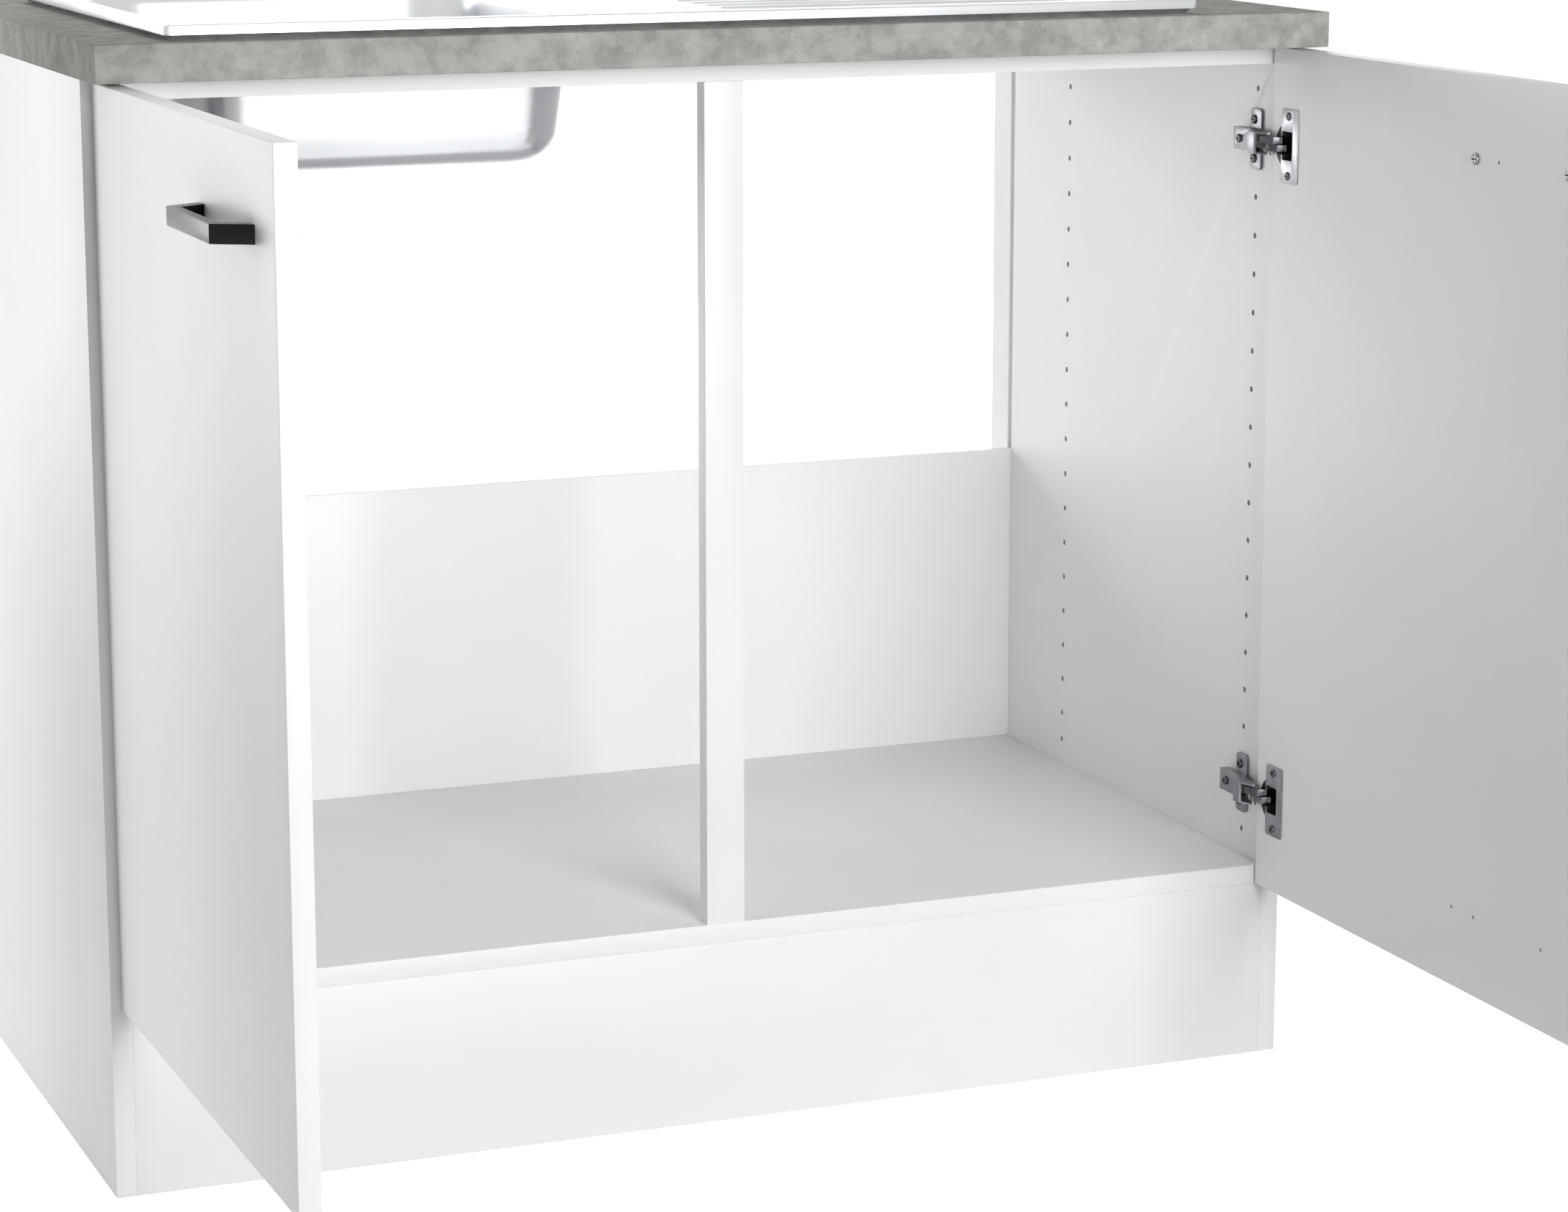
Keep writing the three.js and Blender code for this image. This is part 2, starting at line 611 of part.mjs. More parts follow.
// The mounting plate: two wings screwed to the side board and a block that holds the arm.
function mountingPlate(z) {
  const wings = box(
    -SIDE_INNER, -SIDE_INNER + PLATE_THICKNESS, FRONT + PLATE_FRONT, FRONT + PLATE_REAR,
    z - PLATE_HALF_HEIGHT, z + PLATE_HALF_HEIGHT,
  );
  const block = box(
    -SIDE_INNER, -SIDE_INNER + BLOCK_HEIGHT, FRONT + BLOCK_FRONT, FRONT + BLOCK_REAR,
    z - BLOCK_HALF_HEIGHT, z + BLOCK_HALF_HEIGHT,
  );
  const screwHoles = [-1, 1].map((side) => round(
    PLATE_SCREW_RADIUS + GAP, 'x', -SIDE_INNER - PAST, -SIDE_INNER + PLATE_THICKNESS + PAST,
    [FRONT + HOLE_SETBACK, z + side * HOLE_PITCH / 2], 10,
  ));
  const armHole = round(
    ARM_SCREW_RADIUS + GAP, 'x', -SIDE_INNER + BLOCK_HEIGHT + ARM_SHEET - ARM_SCREW_LENGTH - GAP,
    -SIDE_INNER + BLOCK_HEIGHT + PAST, [FRONT + ARM_SCREW_SETBACK, z], 10,
  );
  return cut(join(wings, block), ...screwHoles, armHole);
}

// The arm is a channel: a web on top of the block, two cheeks beside it, and a raised
// nose whose cheeks carry the two link pins.
function hingeArm(z) {
  const top = BLOCK_HEIGHT + ARM_SHEET;
  const [pinIn, pinBack] = INNER_ARM_PIVOT;
  const diagonal = CHEEK_SIDE * Math.SQRT1_2;
  const profile = outline([
    [PLATE_THICKNESS + GAP, ARM_REAR], [PLATE_THICKNESS + GAP, PLATE_FRONT - GAP],
    [pinIn - CHEEK_SIDE, OUTER_ARM_PIVOT[1]], [pinIn - CHEEK_SIDE, pinBack],
    [pinIn - diagonal, pinBack - diagonal], [pinIn, pinBack - CHEEK_SIDE],
    [pinIn + diagonal, pinBack - diagonal],
    [OUTER_ARM_PIVOT[0] + CHEEK_SIDE, OUTER_ARM_PIVOT[1] - CHEEK_SIDE],
    [NOSE_HEIGHT, NOSE_FRONT], [NOSE_HEIGHT, NOSE_REAR], [top, PLATE_FRONT], [top, ARM_REAR],
  ].map(armPoint));
  const clearFront = pinBack - 2 * CHEEK_SIDE;
  const channel = outline([
    [PLATE_THICKNESS - PAST, ARM_REAR + PAST], [PLATE_THICKNESS - PAST, clearFront],
    [NOSE_HEIGHT - ARM_SHEET, clearFront], [NOSE_HEIGHT - ARM_SHEET, NOSE_REAR - WEB_STEP],
    [BLOCK_HEIGHT, PLATE_FRONT - WEB_STEP], [BLOCK_HEIGHT, ARM_REAR + PAST],
  ].map(armPoint));
  const inside = ARM_HALF_WIDTH - ARM_SHEET;
  const shell = cut(
    upright(profile, z - ARM_HALF_WIDTH, z + ARM_HALF_WIDTH),
    upright(channel, z - inside, z + inside),
    round(ARM_SCREW_RADIUS + GAP, 'x', -SIDE_INNER + BLOCK_HEIGHT - PAST, -SIDE_INNER + top + PAST,
      [FRONT + ARM_SCREW_SETBACK, z], 10),
  );
  const reach = inside + ARM_SHEET / 2;
  const outerPin = round(PIN_RADIUS, 'z', z + PIN_START, z + reach, armPoint(OUTER_ARM_PIVOT), 8);
  const innerPin = round(PIN_RADIUS, 'z', z - reach, z - PIN_START, armPoint(INNER_ARM_PIVOT), 8);
  return join(shell, outerPin, innerPin);
}

// A flat cranked link from an arm pin round a bend to its end in the cup, from z0 to z1. The
// arm end always turns on a pin, the cup end only where pinned says so.
function link(route, z0, z1, pinned) {
  const straps = [];
  for (let i = 0; i < route.length - 1; i += 1) {
    const [x0, y0] = route[i];
    const [x1, y1] = route[i + 1];
    const reach = Math.hypot(x1 - x0, y1 - y0) / LINK_HALF_THICKNESS;
    const nx = (y0 - y1) / reach;
    const ny = (x1 - x0) / reach;
    straps.push(upright(outline([
      [x0 - nx, y0 - ny], [x1 - nx, y1 - ny], [x1 + nx, y1 + ny], [x0 + nx, y0 + ny],
    ]), z0, z1));
  }
  const [armEnd, bend, cupEnd] = route;
  const bosses = [
    round(LINK_EYE_RADIUS, 'z', z0, z1, armEnd, 12),
    round(LINK_HALF_THICKNESS, 'z', z0, z1, bend, 12),
    round(LINK_EYE_RADIUS, 'z', z0, z1, cupEnd, 12),
  ];
  const pins = pinned ? [armEnd, cupEnd] : [armEnd];
  const bores = pins.map((end) => round(PIN_RADIUS + PIN_PLAY, 'z', z0 - PAST, z1 + PAST, end, 12));
  return cut(join(...straps, ...bosses), ...bores);
}

// ---- The two doors with their fittings -----------------------------------------------------------

function doorSet() {
  const pieces = [];
  const add = (name, shape, material) => pieces.push([name, asGeometry(shape), material]);
  const addOnDoor = (name, shape, material) => add(name, hang(shape), material);
  addOnDoor('door', doorBoard(), WHITE_BOARD);
  addOnDoor('handle', handleBow(), HANDLE_BLACK);
  HANDLE_HOLES.forEach((x, i) => (
    addOnDoor(`handle_screw_${i + 1}`, screw('y', 0, [x, HANDLE_Z], HANDLE_SCREW), SCREW_STEEL)
  ));
  for (const [level, z] of Object.entries(HINGE_HEIGHTS)) {
    addOnDoor(`${level}_hinge_cup`, hingeCup(z), CUP_STEEL);
    add(`${level}_hinge_plate`, mountingPlate(z), HINGE_STEEL);
    add(`${level}_hinge_arm`, hingeArm(z), HINGE_STEEL);
    const armScrewAt = [FRONT + ARM_SCREW_SETBACK, z];
    const armTop = -SIDE_INNER + BLOCK_HEIGHT + ARM_SHEET;
    add(`${level}_arm_screw`, screw('x', armTop, armScrewAt, ARM_SCREW), SCREW_STEEL);
    for (const [i, side] of [-1, 1].entries()) {
      const cupAt = [CUP_X + CUP_SCREW_OFFSET, z + side * CUP_SCREW_PITCH / 2];
      const plateAt = [FRONT + HOLE_SETBACK, z + side * HOLE_PITCH / 2];
      const plateTop = -SIDE_INNER + PLATE_THICKNESS;
      addOnDoor(`${level}_cup_screw_${i + 1}`, screw('y', FLANGE_THICKNESS, cupAt, CUP_SCREW), SCREW_STEEL);
      add(`${level}_plate_screw_${i + 1}`, screw('x', plateTop, plateAt, PLATE_SCREW), SCREW_STEEL);
    }
    const outerRoute = [armPoint(OUTER_ARM_PIVOT), openPoint(OUTER_BEND), openPoint(OUTER_CUP_PIVOT)];
    const innerRoute = [armPoint(INNER_ARM_PIVOT), openPoint(INNER_BEND), openPoint(INNER_CUP_PIVOT)];
    add(`${level}_outer_link`, link(outerRoute, z + LINK_NEAR, z + LINK_FAR, true), HINGE_STEEL);
    add(`${level}_inner_link`, link(innerRoute, z - LINK_FAR, z - LINK_NEAR, false), HINGE_STEEL);
  }
  return pieces;
}

function makeDoors() {
  for (const [name, geometry, material] of doorSet()) {
    place(`left_${name}`, geometry, material);
    place(`right_${name}`, mirrored(geometry), material);
  }
}

makeCarcase();
makeWorktop();
makeSink();
makeDoors();

export default cabinet;
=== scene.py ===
"""Looks of a sink base cabinet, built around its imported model. Metres, +Z up, front towards -Y.

The cabinet's sizes and places are written in millimetres in its own frame and turned to metres
by MM. Only the floor's size, the lamps and the camera are in metres. The left door's fittings
are modelled once, and their right-hand twins are mirrored copies.
"""

from math import cos, hypot, pi, radians, sin

import bpy
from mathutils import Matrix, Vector


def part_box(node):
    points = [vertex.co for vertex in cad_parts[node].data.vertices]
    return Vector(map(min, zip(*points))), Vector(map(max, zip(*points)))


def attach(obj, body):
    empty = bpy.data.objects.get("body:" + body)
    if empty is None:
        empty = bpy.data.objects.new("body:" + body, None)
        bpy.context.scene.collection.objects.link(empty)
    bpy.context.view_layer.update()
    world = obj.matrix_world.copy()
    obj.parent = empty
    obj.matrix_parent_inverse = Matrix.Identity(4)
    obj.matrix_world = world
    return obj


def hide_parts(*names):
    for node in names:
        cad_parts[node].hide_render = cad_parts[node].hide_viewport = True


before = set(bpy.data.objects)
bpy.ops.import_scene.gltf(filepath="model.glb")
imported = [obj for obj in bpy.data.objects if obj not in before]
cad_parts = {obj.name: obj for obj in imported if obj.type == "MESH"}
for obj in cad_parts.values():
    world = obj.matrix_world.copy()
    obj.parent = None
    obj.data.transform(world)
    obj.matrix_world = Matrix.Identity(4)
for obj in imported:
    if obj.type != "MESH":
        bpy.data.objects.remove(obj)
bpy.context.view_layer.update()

MM = 0.001
LEVELS = ("lower", "upper")

# ---- Sizes of this dressing, in millimetres ----------------------------------------------------

BOARD_EDGE = 0.4            # rounding of the boards' banded edges
TOP_EDGE = 1.0              # rounding of the worktop's edges
SHELF_HOLE_RADIUS = 2.5
SHELF_HOLE_DEPTH = 11
SHELF_HOLE_PITCH = 32
SHELF_HOLE_END_STEP = 25    # from the last hole of a row to the single one past it
SHELF_ROW_STEP = 352        # from the front row back to the rear row
GROOVE_DEPTH = 8
GROOVE_PLAY = 0.3
PAST = 1                    # how far a cutter runs past the face that it opens
HAIR = 0.01                 # places nearer to each other than this are the same
SKIN = 0.05                 # how near to a face still counts as on it


# ---- Modelling by hand, in a few words ---------------------------------------------------------

def rest():
    """Leave edit mode with nothing selected."""
    if bpy.context.object and bpy.context.object.mode == "EDIT":
        bpy.ops.object.mode_set(mode="OBJECT")
    bpy.ops.object.select_all(action="DESELECT")


def only(*pieces):
    """Select these pieces alone, the first one active."""
    rest()
    for piece in pieces:
        piece.select_set(True)
    bpy.context.view_layer.objects.active = pieces[0]


def settle():
    """Put the active piece's place, turn and scale into its mesh."""
    bpy.ops.object.transform_apply(location=True, rotation=True, scale=True)
    return bpy.context.object


def block(low, high):
    """A box between two corners."""
    rest()
    centre = [(a + b) / 2 * MM for a, b in zip(low, high)]
    size = [(b - a) * MM for a, b in zip(low, high)]
    bpy.ops.mesh.primitive_cube_add(size=1, location=centre, scale=size)
    return settle()


def plate(x0, x1, y0, y1, z, corner, steps):
    """A flat sheet with rounded corners at height z, facing up. It stays in edit mode."""
    rest()
    centre = ((x0 + x1) / 2 * MM, (y0 + y1) / 2 * MM, z * MM)
    bpy.ops.mesh.primitive_plane_add(size=1, location=centre)
    bpy.context.object.scale = ((x1 - x0) * MM, (y1 - y0) * MM, 1)
    settle()
    bpy.ops.object.mode_set(mode="EDIT")
    bpy.ops.mesh.select_all(action="SELECT")
    bpy.ops.mesh.bevel(offset=corner * MM, segments=steps, affect="VERTICES", clamp_overlap=False)
    return bpy.context.object


def rod(radius, axis, start, end, at, sides):
    """A round bar along x, y or z from start to end, with at giving its other two places."""
    rest()
    halfway = (start + end) / 2
    spot = {"x": (halfway, *at), "y": (at[0], halfway, at[1]), "z": (*at, halfway)}[axis]
    turn = {"x": (0, pi / 2, 0), "y": (pi / 2, 0, 0), "z": (0, 0, 0)}[axis]
    bpy.ops.mesh.primitive_cylinder_add(
        vertices=sides, radius=radius * MM, depth=(end - start) * MM,
        location=[value * MM for value in spot], rotation=turn,
    )
    return settle()


def pick(piece, kind, test):
    """Go to edit mode with only the VERT, EDGE or FACE elements selected that pass the test."""
    only(piece)
    bpy.ops.object.mode_set(mode="EDIT")
    bpy.ops.mesh.select_mode(type=kind)
    bpy.ops.mesh.select_all(action="DESELECT")
    bpy.ops.object.mode_set(mode="OBJECT")
    mesh = piece.data
    if kind == "FACE":
        for face in mesh.polygons:
            face.select = bool(test(face.center / MM, face.normal))
    elif kind == "EDGE":
        for edge in mesh.edges:
            edge.select = bool(test(*(mesh.vertices[i].co / MM for i in edge.vertices)))
    else:
        for vertex in mesh.vertices:
            vertex.select = bool(test(vertex.co / MM))
    bpy.ops.object.mode_set(mode="EDIT")


def along(axis, parallel=0.999):
    """A test for edges that run along x, y or z."""
    number = "xyz".index(axis)
    return lambda a, b: abs((a - b).normalized()[number]) > parallel


def soften(piece, width, segments=2, angle=30):
    """Round every edge sharper than the angle."""
    only(piece)
    bpy.ops.object.modifier_add(type="BEVEL")
    bevel = piece.modifiers[-1]
    bevel.width = width * MM
    bevel.segments = segments
    bevel.limit_method = "ANGLE"
    bevel.angle_limit = radians(angle)
    bpy.ops.object.modifier_apply(modifier=bevel.name)
    return piece


def merge(*pieces):
    """Make one object of several, each still a body of its own."""
    only(*pieces)
    bpy.ops.object.join()
    return bpy.context.object


def carve(piece, tool, operation="DIFFERENCE"):
    """Cut a tool out of a piece, or weld it on, and throw the tool away."""
    only(piece)
    bpy.ops.object.modifier_add(type="BOOLEAN")
    boolean = piece.modifiers[-1]
    boolean.operation = operation
    boolean.solver = "EXACT"
    boolean.object = tool
    bpy.ops.object.modifier_apply(modifier=boolean.name)
    bpy.data.objects.remove(tool)
    return piece


def copy_of(piece, move):
    """A copy with its own mesh, moved by so many millimetres."""
    only(piece)
    bpy.ops.object.duplicate(linked=False)
    bpy.context.object.location = Vector(move) * MM
    return settle()


def mirror_of(piece):
    """The same piece on the cabinet's right side."""
    only(piece)
    bpy.ops.object.duplicate(linked=False)
    bpy.context.object.scale = (-1, 1, 1)
    settle()
    bpy.ops.object.mode_set(mode="EDIT")
    bpy.ops.mesh.select_all(action="SELECT")
    bpy.ops.mesh.normals_make_consistent(inside=False)
    bpy.ops.object.mode_set(mode="OBJECT")
    return bpy.context.object


def merged_copy(node, gap=0.005, flat=0.5):
    """A CAD node's own shape, ready for finer edges: its loose triangles are joined across gaps
    of so many millimetres and made one face where they are flat to within so many degrees."""
    rest()
    piece = bpy.data.objects.new(node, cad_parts[node].data.copy())
    bpy.context.scene.collection.objects.link(piece)
    only(piece)
    piece.data.materials.clear()
    bpy.ops.mesh.customdata_custom_splitnormals_clear()
    bpy.ops.object.mode_set(mode="EDIT")
    bpy.ops.mesh.select_all(action="SELECT")
    bpy.ops.mesh.remove_doubles(threshold=gap * MM)
    bpy.ops.mesh.dissolve_limited(angle_limit=radians(flat))
    bpy.ops.object.mode_set(mode="OBJECT")
    return piece


def reach(node):
    """A CAD node's lowest and highest corners in millimetres."""
    low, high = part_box(node)
    return low / MM, high / MM


def middle(node):
    """The middle of a CAD node's box in millimetres."""
    low, high = reach(node)
    return (low + high) / 2


def finish(piece, name, body, slot, node, *materials, angle=30):
    """Name a piece, shade it, paint it and let it stand for its CAD node on its body."""
    only(piece)
    bpy.ops.object.shade_smooth_by_angle(angle=radians(angle))
    piece.name = name
    piece.data.name = name
    if not piece.data.materials:
        for material in materials:
            piece.data.materials.append(material)
    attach(piece, body)
    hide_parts(node)


def second_finish(piece, first, second, test):
    """Give a piece two materials, the second one on the faces that pass the test."""
    piece.data.materials.append(first)
    piece.data.materials.append(second)
    pick(piece, "FACE", test)
    piece.active_material_index = 1
    bpy.ops.object.material_slot_assign()
    bpy.ops.object.mode_set(mode="OBJECT")


# ---- Materials ---------------------------------------------------------------------------------

def colour(hex_value):
    """An sRGB hex value as a linear colour."""
    channels = [int(hex_value[i:i + 2], 16) / 255 for i in (1, 3, 5)]
    linear = [c / 12.92 if c <= 0.04045 else ((c + 0.055) / 1.055) ** 2.4 for c in channels]
    return (*linear, 1.0)


def per_mm(size):
    """A texture scale whose pattern repeats about once in so many millimetres."""
    return 1 / (size * MM)


def feed(tree, target, links):
    """Feed a shader node's input sockets from other nodes, each given with its output."""
    for socket, (source, output) in links.items():
        tree.links.new(source.outputs[output], target.inputs[socket])


def add_node(tree, kind, links=(), stops=(), **settings):
    """Add a shader node. Settings name its properties or input sockets, links pair an input
    socket with another node's output, and stops are a colour ramp's places and colours."""
    added = tree.nodes.new("ShaderNode" + kind)
    for key, value in settings.items():
        if hasattr(added, key):
            setattr(added, key, value)
        else:
            added.inputs[key.replace("_", " ")].default_value = value
    feed(tree, added, dict(links))
    if stops:
        ramp = added.color_ramp.elements
        while len(ramp) < len(stops):
            ramp.new(0.5)
        for element, (place, value) in zip(ramp, stops):
            element.position = place
            element.color = value
    return added


def new_material(name, **settings):
    """A material with a Principled shader and the coordinates that its patterns read."""
    material = bpy.data.materials.new(name)
    material.use_nodes = True
    tree = material.node_tree
    shader = tree.nodes["Principled BSDF"]
    for key, value in settings.items():
        shader.inputs[key.replace("_", " ")].default_value = value
    place = add_node(tree, "TexCoord")
    return material, tree, shader, place


def melamine():
    """White melamine-faced chipboard, pressed against a finely pearled steel sheet: an even
    white with a soft sheen that pearls of 1.5 mm break up."""
    material, tree, shader, place = new_material("white_melamine", Roughness=0.42)
    pearls = add_node(tree, "TexNoise", {"Vector": (place, "Object")},
                      Scale=per_mm(1.5), Detail=2.0, Roughness=0.5)
    clouds = add_node(tree, "TexNoise", {"Vector": (place, "Object")},
                      Scale=per_mm(180), Detail=2.0)
    tint = add_node(tree, "ValToRGB", {"Fac": (clouds, "Fac")},
                    stops=[(0.35, colour("#F3F3F4")), (0.65, colour("#F6F6F7"))])
    sheen = add_node(tree, "MapRange", {"Value": (pearls, "Fac")}, To_Min=0.36, To_Max=0.5)
    relief = add_node(tree, "Bump", {"Height": (pearls, "Fac")}, Strength=0.12, Distance=0.05 * MM)
    feed(tree, shader, {"Base Color": (tint, "Color"), "Roughness": (sheen, "Result"),
                        "Normal": (relief, "Normal")})
    return material


def chipboard():
    """Raw chipboard in drilled holes, in the sink's cut-out and under the worktop: pressed wood
    chips of 2 mm, dull."""
    material, tree, shader, place = new_material("raw_chipboard", Roughness=0.9)
    chips = add_node(tree, "TexVoronoi", {"Vector": (place, "Object")}, Scale=per_mm(2))
    tint = add_node(tree, "ValToRGB", {"Fac": (chips, "Distance")},
                    stops=[(0.1, colour("#CBC8C3")), (0.5, colour("#DCDAD6")), (0.9, colour("#E8E7E4"))])
    relief = add_node(tree, "Bump", {"Height": (chips, "Distance")}, Strength=0.5, Distance=0.3 * MM)
    feed(tree, shader, {"Base Color": (tint, "Color"), "Normal": (relief, "Normal")})
    return material


def concrete_laminate():
    """Worktop laminate printed like trowelled concrete: grey clouds of 60 mm, blots of 16 mm,
    darker flecks of 2.5 mm and a dry, slightly rough face."""
    material, tree, shader, place = new_material(
        "concrete_laminate", Roughness=0.8, Specular_IOR_Level=0.12)
    clouds = add_node(tree, "TexNoise", {"Vector": (place, "Object")},
                      Scale=per_mm(60), Detail=6.0, Roughness=0.62, Distortion=0.4)
    blots = add_node(tree, "TexNoise", {"Vector": (place, "Object")},
                     Scale=per_mm(16), Detail=4.0, Roughness=0.6)
    flecks = add_node(tree, "TexNoise", {"Vector": (place, "Object")},
                      Scale=per_mm(2.5), Detail=3.0, Roughness=0.7)
    ground = add_node(tree, "ValToRGB", {"Fac": (clouds, "Fac")},
                      stops=[(0.34, colour("#8F908C")), (0.5, colour("#ACADA7")), (0.64, colour("#C3C4BB"))])
    patches = add_node(tree, "ValToRGB", {"Fac": (blots, "Fac")},
                       stops=[(0.38, colour("#8A8B87")), (0.5, colour("#AFB0AA")), (0.62, colour("#CBCCC2"))])
    specks = add_node(tree, "ValToRGB", {"Fac": (flecks, "Fac")},
                      stops=[(0.3, colour("#7C7C78")), (0.42, colour("#A9A9A5")), (0.7, colour("#B6B6B2"))])
    # A colour mix has its two colours in sockets 6 and 7 and its result in output 2
    patchy = add_node(tree, "Mix", {6: (ground, "Color"), 7: (patches, "Color")}, data_type="RGBA")
    patchy.inputs[0].default_value = 0.5
    specked = add_node(tree, "Mix", {6: (patchy, 2), 7: (specks, "Color")}, data_type="RGBA")
    specked.inputs[0].default_value = 0.3
    relief = add_node(tree, "Bump", {"Height": (flecks, "Fac")}, Strength=0.25, Distance=0.08 * MM)
    feed(tree, shader, {"Base Color": (specked, 2), "Normal": (relief, "Normal")})
    return material


def satin_stainless():
    """Stainless steel sheet, deep-drawn and satin brushed along the sink: pale and mirror-like,
    with highlights that its grain smears. The grain is 40 mm long and 1 mm wide, coarser than
    the real one, which wouldn't show."""
    material, tree, shader, place = new_material(
        "satin_stainless", Metallic=1.0, Roughness=0.24, Base_Color=colour("#CFD1D3"))
    grain_place = add_node(tree, "Mapping", {"Vector": (place, "Object")}, Scale=(1, 40, 40))
    grain = add_node(tree, "TexNoise", {"Vector": (grain_place, "Vector")},
                     Scale=per_mm(40), Detail=3.0, Roughness=0.6)
    clouds = add_node(tree, "TexNoise", {"Vector": (place, "Object")}, Scale=per_mm(90), Detail=3.0)
    sheen = add_node(tree, "MapRange", {"Value": (grain, "Fac")}, To_Min=0.18, To_Max=0.32)
    tint = add_node(tree, "ValToRGB", {"Fac": (clouds, "Fac")},
                    stops=[(0.3, colour("#C8CACC")), (0.7, colour("#D6D8DA"))])
    relief = add_node(tree, "Bump", {"Height": (grain, "Fac")}, Strength=0.08, Distance=0.02 * MM)
    feed(tree, shader, {"Base Color": (tint, "Color"), "Roughness": (sheen, "Result"),
                        "Normal": (relief, "Normal")})
    return material


def plated_steel_in_shade(name, tint, dull):
    """Stamped or turned steel under nickel or zinc: a grey metal between two tints, darker than
    bright plating as painted shade, its gloss broken up by rolling marks 0.8 mm apart, drawn
    coarser than real ones so that they show."""
    material, tree, shader, place = new_material(name, Metallic=1.0, Roughness=dull)
    marks = add_node(tree, "TexNoise", {"Vector": (place, "Object")}, Scale=per_mm(0.8), Detail=2.0)
    sheen = add_node(tree, "MapRange", {"Value": (marks, "Fac")}, To_Min=dull - 0.06, To_Max=dull + 0.08)
    wear = add_node(tree, "TexNoise", {"Vector": (place, "Object")}, Scale=per_mm(12), Detail=3.0)
    shade = add_node(tree, "ValToRGB", {"Fac": (wear, "Fac")},
                     stops=[(0.3, colour(tint[0])), (0.7, colour(tint[1]))])
    relief = add_node(tree, "Bump", {"Height": (marks, "Fac")}, Strength=0.1, Distance=0.02 * MM)
    feed(tree, shader, {"Base Color": (shade, "Color"), "Roughness": (sheen, "Result"),
                        "Normal": (relief, "Normal")})
    return material


def black_powder_coat():
    """Powder coat on the handles: black, with a tight orange-peel skin of 0.9 mm, low gloss."""
    material, tree, shader, place = new_material(
        "black_powder_coat", Roughness=0.28, Specular_IOR_Level=0.18)
    peel = add_node(tree, "TexNoise", {"Vector": (place, "Object")}, Scale=per_mm(0.9), Detail=2.0)
    sheen = add_node(tree, "MapRange", {"Value": (peel, "Fac")}, To_Min=0.22, To_Max=0.32)
    tint = add_node(tree, "ValToRGB", {"Fac": (peel, "Fac")},
                    stops=[(0.3, colour("#060607")), (0.7, colour("#0C0C0D"))])
    relief = add_node(tree, "Bump", {"Height": (peel, "Fac")}, Strength=0.15, Distance=0.03 * MM)
    feed(tree, shader, {"Base Color": (tint, "Color"), "Roughness": (sheen, "Result"),
                        "Normal": (relief, "Normal")})
    return material


def painted_shade_black():
    """Painted shade in the depth of a cup's pocket or a screw's cross: an almost black metal that stands in
    for the shade there.
    """
    material, tree, shader, place = new_material("painted_shade_black", Metallic=0.6, Roughness=0.5)
    shade_mottle = add_node(tree, "TexNoise", {"Vector": (place, "Object")}, Scale=per_mm(3), Detail=2.0)
    tint = add_node(tree, "ValToRGB", {"Fac": (shade_mottle, "Fac")},
                    stops=[(0.3, colour("#1B1B1C")), (0.7, colour("#2B2B2D"))])
    feed(tree, shader, {"Base Color": (tint, "Color")})
    return material


WHITE = melamine()
CHIPBOARD = chipboard()
CONCRETE = concrete_laminate()
STAINLESS = satin_stainless()
# Painted shade: these tints are darker than bright plating, each by the shade on its parts, from the cups'
# flanges, lightest, to the links and zinc screws, darkest
NICKEL = plated_steel_in_shade("nickel_plated_steel", ("#7C7D80", "#909194"), 0.34)
CUP_NICKEL = plated_steel_in_shade("nickel_plated_cup", ("#86878A", "#999A9D"), 0.3)
SHADED_LINK_NICKEL = plated_steel_in_shade("nickel_plated_links", ("#57585B", "#696A6D"), 0.32)
ZINC = plated_steel_in_shade("zinc_plated_screws", ("#4E4F52", "#636467"), 0.36)
BLACK = black_powder_coat()
# Painted shade: the almost black metal in the cups' pockets and the screws' crosses
PAINTED_SHADE = painted_shade_black()


# ---- Carcase -----------------------------------------------------------------------------------

def shelf_holes(inner):
    """Cutters for the two rows of shelf-pin holes in the left side board."""
    first = middle("left_lower_plate_screw_1")
    last = middle("left_upper_plate_screw_2")
    count = round((last.z - first.z) / SHELF_HOLE_PITCH) + 1
    levels = [first.z + SHELF_HOLE_PITCH * i for i in range(count)]
    levels = [first.z - SHELF_HOLE_END_STEP, *levels, last.z + SHELF_HOLE_END_STEP]
    model = rod(SHELF_HOLE_RADIUS, "x", inner - SHELF_HOLE_DEPTH, inner + PAST,
                (first.y, levels[0]), sides=16)
    rows = (0, SHELF_ROW_STEP)
    cutters = [copy_of(model, (0, row, z - levels[0])) for row in rows for z in levels]
    bpy.data.objects.remove(model)
    return merge(*cutters)


def side_boards():
    """The left side board with its shelf-pin holes and back groove, and its right-hand twin."""
    low, high = reach("side_panel_left")
    back_low, back_high = reach("back_panel")
    board = soften(block(low, high), BOARD_EDGE)
    carve(board, shelf_holes(high.x))
    groove = block((high.x - GROOVE_DEPTH, back_low.y - GROOVE_PLAY, back_low.z),
                   (high.x + PAST, back_high.y + GROOVE_PLAY, high.z + PAST))
    carve(board, groove)
    row = middle("left_lower_plate_screw_1").y

    def drilled(at, normal):
        in_row = min(abs(at.y - row), abs(at.y - row - SHELF_ROW_STEP)) < 2 * SHELF_HOLE_RADIUS
        inside = low.x + PAST < at.x < high.x - SKIN and low.z + PAST < at.z < high.z - PAST
        return in_row and inside
    second_finish(board, WHITE, CHIPBOARD, drilled)
    twin = mirror_of(board)
    finish(board, "left_side_board", "carcase", "white_board", "side_panel_left")
    finish(twin, "right_side_board", "carcase", "white_board", "side_panel_right")


def plain_boards():
    """The boards without holes."""
    for name in ("plinth_board", "bottom_panel", "front_rail", "rear_rail", "centre_post", "back_panel"):
        board = soften(block(*reach(name)), BOARD_EDGE)
        finish(board, f"{name}_faced", "carcase", "white_board", name, WHITE)


# ---- Worktop -----------------------------------------------------------------------------------

CUTOUT_LAP = 15             # how far the sink's rim lies on the worktop


